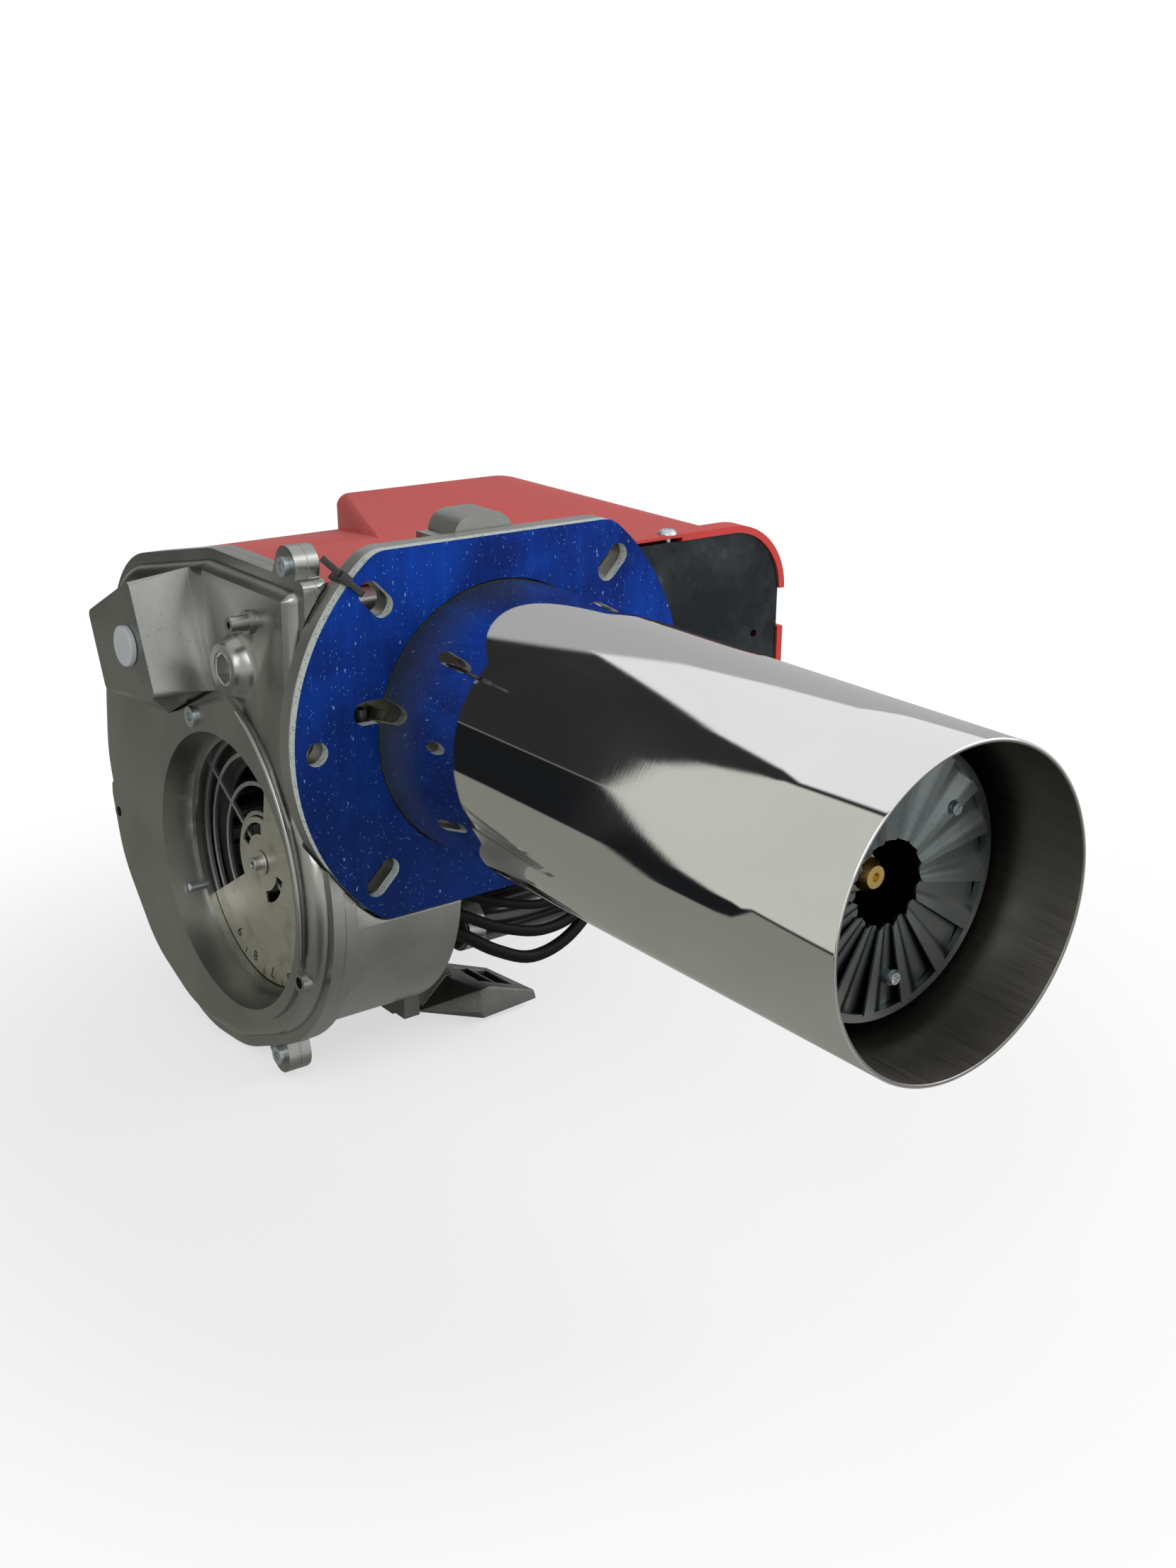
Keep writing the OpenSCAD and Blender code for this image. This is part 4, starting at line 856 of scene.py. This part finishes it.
@dataclass
class SwirlDiffuser:
    """Cast disc of overlapping swirl vanes in a rim, each vane's edge standing over the next one's foot."""

    vanes: int = 16
    hole_r: float = 0.0206
    vane_r: float = 0.0634
    rim_inner: float = 0.0625
    pitch_share: float = 0.20
    thick: float = 0.0012
    overlap: float = 1.07
    notch: float = 0.0022
    notch_from: float = 0.55
    steps_round: int = 16
    steps_out: int = 8
    first_deg: float = 12.0
    screws: tuple[float, ...] = (36.0, 156.0, 276.0)
    screw_r: float = 0.048
    boss_r: float = 0.0040
    boss_t: float = 0.0046
    boss_y: float = 0.0026
    rim_sides: int = 128
    rim_t: float = 0.002
    rim_edge: Pair = (0.001, 0.0003)
    depth: float = 0.0076
    web_t: float = 0.0034
    vane_y: float = 0.0020
    fold: Point = (0.5, 0.3, 0.55)

    def profile(self, share: float) -> float:
        """Height of a vane's face across its width, falling slowly and then faster at its fold.

        Args:
            share: place across the vane, from 0 at its foot to 1 at its raised edge.

        Returns:
            The height, as a share of the vane's rise.
        """
        start, width, drop = self.fold
        t = min(max((share - start) / width, 0.0), 1.0)
        return 0.5 - (1.0 - drop) * share - drop * t * t * (3 - 2 * t)

    def vane(self, mesh: BMesh, number: int, middle_y: float) -> None:
        """Adds one vane, which turns and rises clockwise as seen from the boiler.

        Args:
            mesh: the bmesh to add to.
            number: the vane's number.
            middle_y: place of the vanes' middle along the tube.
        """
        pitch = math.tau / self.vanes
        rounds, spans = self.steps_round, self.steps_out
        layers: list[list[list[BMVert]]] = []
        for lift in (0.0, self.thick):
            layer = []
            for i in range(rounds + 1):
                u = self.overlap * i / rounds
                aside = abs(2 * u / self.overlap - 1)
                start = self.hole_r + self.notch * max(0.0, aside - self.notch_from) / (1 - self.notch_from)
                row = []
                for j in range(spans + 1):
                    radius = start + (self.vane_r - start) * j / spans
                    angle = math.radians(self.first_deg) - (number + u) * pitch
                    rise = radius * pitch * self.pitch_share * self.profile(u)
                    row.append(mesh.verts.new((radius * math.cos(angle), middle_y + rise + lift,
                                               radius * math.sin(angle))))
                layer.append(row)
            layers.append(layer)
        front, rear = layers
        for i in range(rounds):
            for j in range(spans):
                mesh.faces.new((front[i][j], front[i][j + 1], front[i + 1][j + 1], front[i + 1][j]))
                mesh.faces.new((rear[i][j], rear[i + 1][j], rear[i + 1][j + 1], rear[i][j + 1]))
            for j in (0, spans):
                mesh.faces.new((front[i][j], front[i + 1][j], rear[i + 1][j], rear[i][j]))
        for i in (0, rounds):
            for j in range(spans):
                mesh.faces.new((front[i][j], rear[i][j], rear[i][j + 1], front[i][j + 1]))

    def build(self) -> None:
        """Makes the rim, the vanes and the screw bosses."""
        low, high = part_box("diffuser")
        outer = (high.x - low.x) / 2
        rear = high.y
        face = rear - self.depth
        web = face + self.web_t
        wide, narrow = self.rim_edge
        inner = outer - self.rim_t
        section = [(self.rim_inner, face), (outer - wide, face), (outer - narrow, face + narrow),
                   (outer, face + wide), (outer, rear), (inner, rear), (inner, web), (self.rim_inner, web)]
        mesh = bmesh.new()
        spin_round_tube(mesh, section, self.rim_sides)
        for number in range(self.vanes):
            self.vane(mesh, number, face + self.vane_y)
        for deg in self.screws:
            a = math.radians(deg)
            spot = Vector((self.screw_r * math.cos(a), face + self.boss_y, self.screw_r * math.sin(a)))
            upright = Matrix.Rotation(math.radians(90), 4, "X")
            bmesh.ops.create_cone(mesh, cap_ends=True, segments=32, radius1=self.boss_r, radius2=self.boss_r,
                                  depth=self.boss_t, matrix=Matrix.Translation(spot) @ upright)
        bmesh.ops.recalc_face_normals(mesh, faces=mesh.faces)
        piece = new_piece("diffuser_swirl", mesh, 30.0)
        settle(piece, Body.HEAD, Finish.DISC_CAST, "diffuser")


@dataclass
class CableTie:
    """Thin black tie through the upper left slot, its head just outside the flange's rim."""

    turn_deg: float = 136.5
    width: float = 0.0036
    strap: float = 0.0011
    inner_r: float = 0.1219
    rim_r: float = 0.1327
    flange_t: float = 0.0175
    head: Point = (0.0068, 0.0062, 0.0054)
    tail: float = 0.0145
    slack: float = 0.0002
    head_step: float = 0.0016
    sunk: float = 0.0004
    edge: float = 0.0002

    def build(self) -> None:
        """Makes the loop, the head and the cut tail."""
        a = math.radians(self.turn_deg)
        out = Vector((math.cos(a), 0.0, math.sin(a)))
        along = Vector((0.0, 1.0, 0.0))
        side = out.cross(along)
        frame = Matrix((out, along, side)).transposed().to_4x4()
        near, far = -self.slack - self.strap, self.flange_t + self.slack
        outside = self.rim_r + self.strap
        top = outside + self.head[0]
        head_y, tail_y = near - self.head_step, near - self.sunk
        boxes = (
            (self.inner_r, outside, near, near + self.strap, self.width),
            (self.inner_r, outside, far, far + self.strap, self.width),
            (self.inner_r, self.inner_r + self.strap, near, far + self.strap, self.width),
            (self.rim_r, outside, near, far + self.strap, self.width),
            (outside - self.sunk, top, head_y, head_y + self.head[1], self.head[2]),
            (top - self.sunk, top + self.tail, tail_y, tail_y + self.strap, self.width),
        )
        mesh = bmesh.new()
        for r0, r1, y0, y1, wide in boxes:
            middle = Matrix.Translation(((r0 + r1) / 2, (y0 + y1) / 2, 0.0))
            size = Matrix.Diagonal((r1 - r0, y1 - y0, wide, 1.0))
            bmesh.ops.create_cube(mesh, size=1.0, matrix=frame @ middle @ size)
        bmesh.ops.bevel(mesh, geom=mesh.edges[:], offset=self.edge, offset_type="OFFSET", segments=2,
                        profile=0.5, affect="EDGES", material=-1, clamp_overlap=True)
        bmesh.ops.recalc_face_normals(mesh, faces=mesh.faces)
        piece = new_piece("cable_tie_strap", mesh, 50.0)
        settle(piece, Body.FLANGE, Finish.BLACK, "cable_tie")


@dataclass
class BlastTube:
    """The polished tube, rolled from sheet, with a dressed rim."""

    sides: int = 256
    wall: float = 0.002
    rim_round: float = 0.0006
    spans: int = 6

    def build(self) -> None:
        """Makes the tube from one section spun round its axis."""
        low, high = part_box("blast_tube")
        outer = (high.x - low.x) / 2
        front, back = low.y, high.y
        inner = outer - self.wall
        r = self.rim_round
        corner = [(math.sin(a), math.cos(a)) for a in (math.radians(d) for d in (0, 30, 60, 90))]
        section = [(outer - r + r * s, front + r - r * c) for s, c in corner]
        between = [front + (back - front) * k / self.spans for k in range(1, self.spans)]
        section += [(outer, y) for y in between]
        section += [(outer, back), (inner, back)]
        section += [(inner, y) for y in reversed(between)]
        section += [(inner + r - r * s, front + r - r * c) for s, c in reversed(corner)]
        mesh = bmesh.new()
        spin_round_tube(mesh, section, self.sides)
        bmesh.ops.recalc_face_normals(mesh, faces=mesh.faces)
        piece = new_piece("tube_polished_shell", mesh, 50.0)
        settle(piece, Body.BURNER, Finish.TUBE, "blast_tube")


@dataclass
class CableLoom:
    """Black cables that hang from the fan housing to the equipment tray."""

    routes: tuple[tuple[float, tuple[Point, ...]], ...] = (
        (4.0, ((-24.5, 26, -136), (-14, 25, -140), (10, 20, -156), (36, 18, -166), (66, 20, -160),
               (96, 28, -140), (124, 36, -108), (140, 46, -74), (147, 60, -46), (148, 72, -30),
               (148, 74, -24))),
        (3.5, ((-24.5, 20, -124), (-14, 20, -127), (12, 19, -141), (42, 18, -150), (72, 20, -146),
               (100, 28, -128), (122, 38, -98), (134, 50, -66), (138, 64, -42), (138, 72, -24))),
        (3.0, ((-24.5, 24, -112), (-12, 24, -115), (14, 22, -126), (44, 21, -134), (72, 23, -131),
               (96, 30, -116), (114, 38, -92), (124, 50, -64), (128, 64, -42), (128, 72, -24))),
    )
    span_steps: int = 6

    def smooth_route(self, points: Sequence[Vector]) -> list[Vector]:
        """Points along a smooth curve through the route's own points.

        Args:
            points: the route's own points.

        Returns:
            The closer points.
        """
        last = len(points) - 1
        out: list[Vector] = []
        for i in range(last):
            a, b, c, d = (points[max(i - 1, 0)], points[i], points[i + 1], points[min(i + 2, last)])
            for step in range(self.span_steps):
                t = step / self.span_steps
                out.append(0.5 * (2 * b + (c - a) * t + (2 * a - 5 * b + 4 * c - d) * t * t
                                  + (3 * b - a - 3 * c + d) * t ** 3))
        return out + [points[-1]]

    def build(self) -> None:
        """Makes the three cables as one piece."""
        curve = bpy.data.curves.new("cable_loom", "CURVE")
        curve.dimensions = "3D"
        curve.bevel_depth = 1.0 * MM
        curve.bevel_resolution = 4
        curve.use_fill_caps = True
        for radius, route in self.routes:
            points = self.smooth_route([Vector(p) * MM for p in route])
            spline = curve.splines.new("POLY")
            spline.points.add(len(points) - 1)
            for point, place in zip(spline.points, points):
                point.co = (*place, 1.0)
                point.radius = radius
        mesh = bmesh.new()
        mesh.from_mesh(as_mesh(curve))
        bmesh.ops.remove_doubles(mesh, verts=mesh.verts, dist=WELD)
        bmesh.ops.recalc_face_normals(mesh, faces=mesh.faces)
        piece = new_piece("cable_loom", mesh, 60.0)
        settle(piece, Body.BURNER, Finish.RUBBER, "motor_cables")


@dataclass
class DamperScale:
    """Plain numbers and strokes stamped round the air damper."""

    highest: int = 9
    lowest: int = 3
    highest_deg: float = -55.0
    step_deg: float = -18.0
    number_r: float = 0.0685
    stroke_r: float = 0.0735
    number_h: float = 0.0100
    proud: float = 0.0001
    stroke_turn_deg: float = 9.0
    stroke: Pair = (0.0007, 0.0042)

    def on_disc(self, angle_deg: float, radius: float, x: float) -> Matrix:
        """Matrix that puts a flat shape on the disc, with its top away from the fan axis.

        Args:
            angle_deg: place round the disc, from +Y towards +Z.
            radius: distance from the fan axis.
            x: place along the fan axis.

        Returns:
            The matrix.
        """
        a = math.radians(angle_deg)
        out = Vector((0.0, math.cos(a), math.sin(a)))
        side = Vector((0.0, math.sin(a), -math.cos(a)))
        face = Vector((-1.0, 0.0, 0.0))
        if side.cross(out).dot(face) < 0:
            side.negate()
        spin = Matrix((side, out, face)).transposed().to_4x4()
        low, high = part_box("air_damper")
        centre = Vector((x, (low.y + high.y) / 2, (low.z + high.z) / 2))
        return Matrix.Translation(centre + out * radius) @ spin

    def build(self) -> None:
        """Makes the numbers and strokes as one thin piece."""
        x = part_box("air_damper")[0].x - self.proud
        mesh = bmesh.new()
        for number in range(self.highest, self.lowest - 1, -1):
            angle = self.highest_deg + self.step_deg * (self.highest - number)
            font = bpy.data.curves.new("mark", "FONT")
            font.body = str(number)
            font.size = self.number_h
            font.align_x = "CENTER"
            font.align_y = "CENTER"
            font.extrude = self.proud
            font.resolution_u = 3
            data = as_mesh(font)
            data.transform(self.on_disc(angle, self.number_r, x))
            mesh.from_mesh(data)
            place = self.on_disc(angle - self.stroke_turn_deg, self.stroke_r, x)
            size = Matrix.Diagonal((*self.stroke, self.proud * 2, 1.0))
            bmesh.ops.create_cube(mesh, size=1.0, matrix=place @ size)
        piece = new_piece("damper_scale", mesh, 30.0)
        settle(piece, Body.DAMPER, Finish.BLACK)


@dataclass(frozen=True)
class View:
    """Where the photograph was taken from, and what its frame takes in."""

    eye: Point = (-0.58749, -0.84987, 0.32389)
    turn_deg: float = -38.641
    tilt_deg: float = 18.875
    roll_deg: float = 1.006
    lens_mm: float = 43.37
    sensor_mm: float = 36.0
    shift: Pair = (-0.0237, -0.0114)
    frame_px: Pair = (1659, 2212)

    def axes(self) -> tuple[Vector, Vector, Vector]:
        """The picture's right, its top and the way back towards the viewer.

        Returns:
            Three unit vectors.
        """
        turn, tilt, roll = (math.radians(v) for v in (self.turn_deg, self.tilt_deg, self.roll_deg))
        back = Vector((math.sin(turn) * math.cos(tilt), -math.cos(turn) * math.cos(tilt), math.sin(tilt)))
        side = Vector((0, 0, 1)).cross(back).normalized()
        up = back.cross(side)
        right = math.cos(roll) * side + math.sin(roll) * up
        top = -math.sin(roll) * side + math.cos(roll) * up
        return right, top, back

    def mirrored(self, spot: Pair, radius: float) -> Pair:
        """The direction that a round tube along the Y axis mirrors at a spot of the picture.

        Args:
            spot: the spot in pixels, from the frame's upper left corner.
            radius: the tube's radius.

        Returns:
            The direction's share along +Y, and its turn round the Y axis as a share of a full turn.
        """
        right, top, back = self.axes()
        wide, high = self.frame_px
        across = (spot[0] - wide / 2) / high + self.shift[0]
        upward = (high / 2 - spot[1]) / high + self.shift[1]
        ray = (right * across + top * upward - back * self.lens_mm / self.sensor_mm).normalized()
        eye = Vector(self.eye)
        a = ray.x ** 2 + ray.z ** 2
        b = eye.x * ray.x + eye.z * ray.z
        c = eye.x ** 2 + eye.z ** 2 - radius ** 2
        hit = eye - ray * ((b + math.sqrt(b * b - a * c)) / a)
        normal = Vector((hit.x, 0.0, hit.z)).normalized()
        out = ray - 2 * ray.dot(normal) * normal
        return out.y, math.atan2(out.z, out.x) / math.tau % 1.0


@dataclass(frozen=True)
class Seam:
    """Edge of a card, by the picture's spots where the tube mirrors it, with the tone beyond it."""

    spots_px: tuple[Pair, ...]
    blur_deg: float
    tone: Colour


@dataclass(frozen=True)
class MirrorCards:
    """Surroundings of the burner: white to the camera, even to matt skins, cards and gaps to metal.

    The cards lie round the Y axis, one after another from +X over +Z. The other edges are the share
    along an axis where a tone starts to fade, and over how much.
    """

    reach: Pair = (0.60, 0.82)
    even: float = 0.60
    overhead: Colour = (0.50, 0.505, 0.50)
    roof: Seam = Seam(((1370, 1044), (1241, 1007), (1102, 970), (964, 937), (839, 921), (680, 897)),
                      2.0, (1.0, 1.0, 1.0))
    gap: Seam = Seam(((1250, 1154), (1102, 1085), (1010, 1034), (917, 970), (839, 921), (680, 897)),
                     2.5, (0.030, 0.030, 0.029))
    wall: Seam = Seam(((1246, 1159), (1155, 1122), (1082, 1096), (991, 1078), (917, 1078), (856, 1111)),
                      2.0, (0.68, 0.685, 0.62))
    slit: Seam = Seam(((1176, 1335), (1102, 1307), (1010, 1261), (954, 1224), (908, 1178), (856, 1111)),
                      2.0, (0.012, 0.013, 0.014))
    ground: Seam = Seam(((1176, 1339), (1010, 1287), (920, 1242), (850, 1190), (685, 1108)),
                        2.0, (0.27, 0.275, 0.238))
    far_side_deg: float = 318.0
    far_side_blur_deg: float = 40.0
    front: Colour = (1.02, 1.025, 1.0)
    front_low: Colour = (0.44, 0.445, 0.43)
    front_y: Pair = (-0.55, 0.3)
    front_z: Pair = (-0.45, 0.4)
    under: Colour = (0.34, 0.345, 0.325)
    under_y: Pair = (0.35, 0.2)
    under_z: Pair = (-0.85, 0.45)
    behind: Colour = (0.10, 0.10, 0.095)
    behind_x: Pair = (-0.55, 0.25)
    behind_y: Pair = (-0.4, 0.2)
    behind_z: Pair = (-0.35, 0.3)

    def build(self, s: Shading, view: View) -> None:
        """Makes the surroundings in the world's shader tree.

        Args:
            s: the world's tree.
            view: the photograph's view, in which the seams' spots lie.
        """
        x, y, z = s.split(Expr(s, s.node("ShaderNodeTexCoord").outputs["Generated"]))
        turn = s.math("FRACT", s.math("ARCTAN2", z, x) / math.tau + 1.0)
        left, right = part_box("blast_tube")
        radius = (right.x - left.x) / 2
        low, high = self.reach
        along = (y - low) / (high - low)
        tone: object = self.overhead
        for seam in (self.roof, self.gap, self.wall, self.slit, self.ground):
            stops = sorted(view.mirrored(spot, radius) for spot in seam.spots_px)
            ramp = s.node("ShaderNodeValToRGB", {
                "stops": [((share - low) / (high - low), (at,) * 3) for share, at in stops]}, {0: along})
            soft = seam.blur_deg / FULL_TURN_DEG
            tone = s.mix((turn - Expr(s, ramp.outputs[0])).above(-soft / 2, soft), tone, seam.tone)
        soft = self.far_side_blur_deg / FULL_TURN_DEG
        far_side = (turn - self.far_side_deg / FULL_TURN_DEG).above(-soft / 2, soft)
        tone = s.mix(far_side, tone, self.overhead)
        front = s.mix(z.above(*self.front_z), self.front_low, self.front)
        tone = s.mix(y.below(*self.front_y), tone, front)
        tone = s.mix(z.below(*self.under_z) * y.below(*self.under_y), tone, self.under)
        behind = x.below(*self.behind_x) * z.below(*self.behind_z) * y.below(*self.behind_y)
        tone = s.mix(behind, tone, self.behind)
        light = s.node("ShaderNodeLightPath")
        seen: object = (self.even,) * 3
        for ray, look in (("Glossy", tone), ("Transmission", WHITE), ("Camera", WHITE)):
            seen = s.mix(Expr(s, light.outputs[f"Is {ray} Ray"]), seen, look)
        s.plug(s.tree.nodes["Background"].inputs[0], seen)


@dataclass
class Studio:
    """Plain pale floor, soft lamps, even sky and the camera at the photograph's angle."""

    floor_z: float = -0.2231
    floor_reach: float = 40.0
    floor_colour: Colour = (0.86, 0.86, 0.86)
    sight: float = 100.0
    lamps: tuple[tuple[str, Point, Pair, float], ...] = (
        ("key", (1.20, -0.80, 0.95), (1.0, 0.9), 15.0),
        ("fill", (-1.0, -0.8, 0.9), (0.5, 0.8), 4.5),
    )
    aim: Point = (0.0, -0.08, -0.05)
    view: View = field(default_factory=View)
    cards: MirrorCards = field(default_factory=MirrorCards)
    middle: Pair = (0.03, -0.02)
    clear_from: float = 0.28
    clear_over: float = 0.35
    haze: float = 0.62

    def floor(self) -> None:
        """Lays the floor, which the camera sees through a white haze that is full away from the burner."""
        mesh = bmesh.new()
        bmesh.ops.create_grid(mesh, x_segments=1, y_segments=1, size=self.floor_reach,
                              matrix=Matrix.Translation((0, 0, self.floor_z)))
        piece = new_piece("floor", mesh)
        s = Surface("floor_pale")
        x, y, _ = s.axes()
        away = (x - self.middle[0], y - self.middle[1])
        far = s.math("SQRT", away[0] * away[0] + away[1] * away[1]).above(self.clear_from, self.clear_over)
        light = s.node("ShaderNodeLightPath")
        camera, through = (Expr(s, light.outputs[f"Is {ray} Ray"]) for ray in ("Camera", "Transmission"))
        seen = s.math("MAXIMUM", camera, through)
        plain = s.finish(base_color=self.floor_colour, roughness=0.8, specular_ior_level=0.1)
        glow = s.node("ShaderNodeEmission", None, {"Color": WHITE, "Strength": 1.0})
        blend = s.node("ShaderNodeMixShader", None, {
            0: seen * (self.haze + (1.0 - self.haze) * far), 1: Expr(s, s.shader.outputs[0]),
            2: Expr(s, glow.outputs[0])})
        s.plug(s.tree.nodes["Material Output"].inputs["Surface"], Expr(s, blend.outputs[0]))
        piece.data.materials.append(plain)
        piece.visible_glossy = False

    def lights(self) -> None:
        """Hangs the soft lamps, each aimed at the burner."""
        aim = Vector(self.aim)
        for name, place, (wide, tall), watts in self.lamps:
            lamp = bpy.data.lights.new(name, "AREA")
            lamp.shape = "RECTANGLE"
            lamp.size, lamp.size_y = wide, tall
            lamp.energy = watts
            holder = stand(name, lamp)
            holder.location = place
            holder.rotation_euler = (aim - Vector(place)).to_track_quat("-Z", "Y").to_euler()

    def sky(self) -> None:
        """Surrounds the burner with an even light, and with the cards that its metal mirrors."""
        world = bpy.data.worlds.new("studio")
        world.use_nodes = True
        self.cards.build(Shading(world.node_tree), self.view)
        bpy.context.scene.world = world

    def camera(self) -> None:
        """Stands the camera where the photograph was taken from."""
        data = bpy.data.cameras.new("camera")
        data.sensor_fit = "VERTICAL"
        data.sensor_height = self.view.sensor_mm
        data.lens = self.view.lens_mm
        data.shift_x, data.shift_y = self.view.shift
        data.clip_end = self.sight
        holder = stand("camera", data)
        facing = Matrix(self.view.axes()).transposed().to_4x4()
        holder.matrix_world = Matrix.Translation(self.view.eye) @ facing
        bpy.context.scene.camera = holder

    def build(self) -> None:
        """Makes the whole set."""
        bpy.context.scene.view_settings.view_transform = "Standard"
        self.camera()
        self.floor()
        self.lights()
        self.sky()


# How far each node's edges are broken, by its body and its finish.
EDGES_MM: dict[Body, dict[Finish, dict[str, float]]] = {
    Body.BURNER: {
        Finish.CAST: {"housing_left": 0.6, "housing_right": 0.8, "air_duct": 0.8},
        Finish.CAST_FINE: {"collar": 1.5, "front_shield": 0.8, "rear_shield": 0.8, "pump_bracket": 0.6},
        Finish.ZINC: {"housing_screws": 0.25, "index_pin": 0.3, "cover_screws": 0.2},
        Finish.CLEAR: {"blanking_plug": 0.9},
        Finish.STEEL: {"hex_plug": 0.3, "damper_screw": 0.25, "motor_bearings": 0.3,
                       "capacitor_clip": 0.3, "line_gland": 0.5},
        Finish.WIRE: {"intake_grille": 0.5},
        Finish.WINDING: {"motor_stator": 0.4},
        Finish.BLACK_PAINT: {"motor_frame": 0.3, "capacitor": 1.2, "pump_filter_cap": 1.0},
        Finish.ZINC_CAST: {"fuel_pump": 0.8},
        Finish.BRASS: {"oil_nipples": 0.3},
        Finish.BLACK: {"solenoid_valve": 1.0, "photocell": 0.6, "control_box": 1.5,
                       "ignition_transformer": 2.0},
        Finish.SHEET: {"equipment_tray": 0.3, "front_plate": 0.3},
        Finish.CAST_DARK: {"foot": 1.0},
        Finish.COPPER: {"copper_pipe": 0.0},
    },
    Body.FLANGE: {
        Finish.CAST_FINE: {"flange_plate": 0.8},
        Finish.FIBRE: {"flange_gasket": 0.6},
        Finish.FILM: {"flange_film": 0.12},
        Finish.BLACK_PAINT: {"clamp_screw": 0.3},
    },
    Body.HEAD: {
        Finish.STEEL: {"diffuser_carrier": 0.3, "oil_line": 0.2, "electrodes": 0.0},
        Finish.BRASS: {"nozzle": 0.3, "nozzle_holder": 0.3},
        Finish.PORCELAIN: {"electrode_insulators": 0.5},
    },
    Body.ROTOR: {
        Finish.WHEEL: {"fan_wheel": 0.0},
        Finish.ZINC: {"wheel_screw": 0.0},
        Finish.STEEL: {"motor_shaft": 0.4, "motor_rotor": 0.4},
        Finish.COUPLING: {"shaft_coupling": 0.5},
    },
    Body.DAMPER: {Finish.DISC: {"air_damper": 0.15}},
    Body.BUTTON: {Finish.BUTTON: {"reset_button": 0.6}},
}
# Nodes whose edges keep their full round beside small faces.
LOOSE = ("housing_right", "flange_plate", "flange_gasket", "foot")


def skins() -> list[NodeSkin]:
    """The skins of all nodes that keep their CAD form.

    Returns:
        One skin for each of them.
    """
    plain = [NodeSkin(node, finish, body, edge, clamp=node not in LOOSE)
             for body, finishes in EDGES_MM.items()
             for finish, nodes in finishes.items()
             for node, edge in nodes.items()]
    return plain + [CoverSkin("cover", Finish.ENAMEL, Body.BURNER, 0.7),
                    ScrewSkin("diffuser_screws", Finish.ZINC, Body.HEAD, 0.2)]


def main() -> None:
    """Builds the set and dresses the burner, one sub-assembly after another."""
    logging.basicConfig(level=logging.INFO, format="%(message)s")
    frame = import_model()
    Studio().build()
    for skin in skins():
        skin.build(frame)
    BlastTube().build()
    SwirlDiffuser().build()
    CableTie().build()
    CableLoom().build()
    DamperScale().build()


if __name__ == "__main__":
    main()
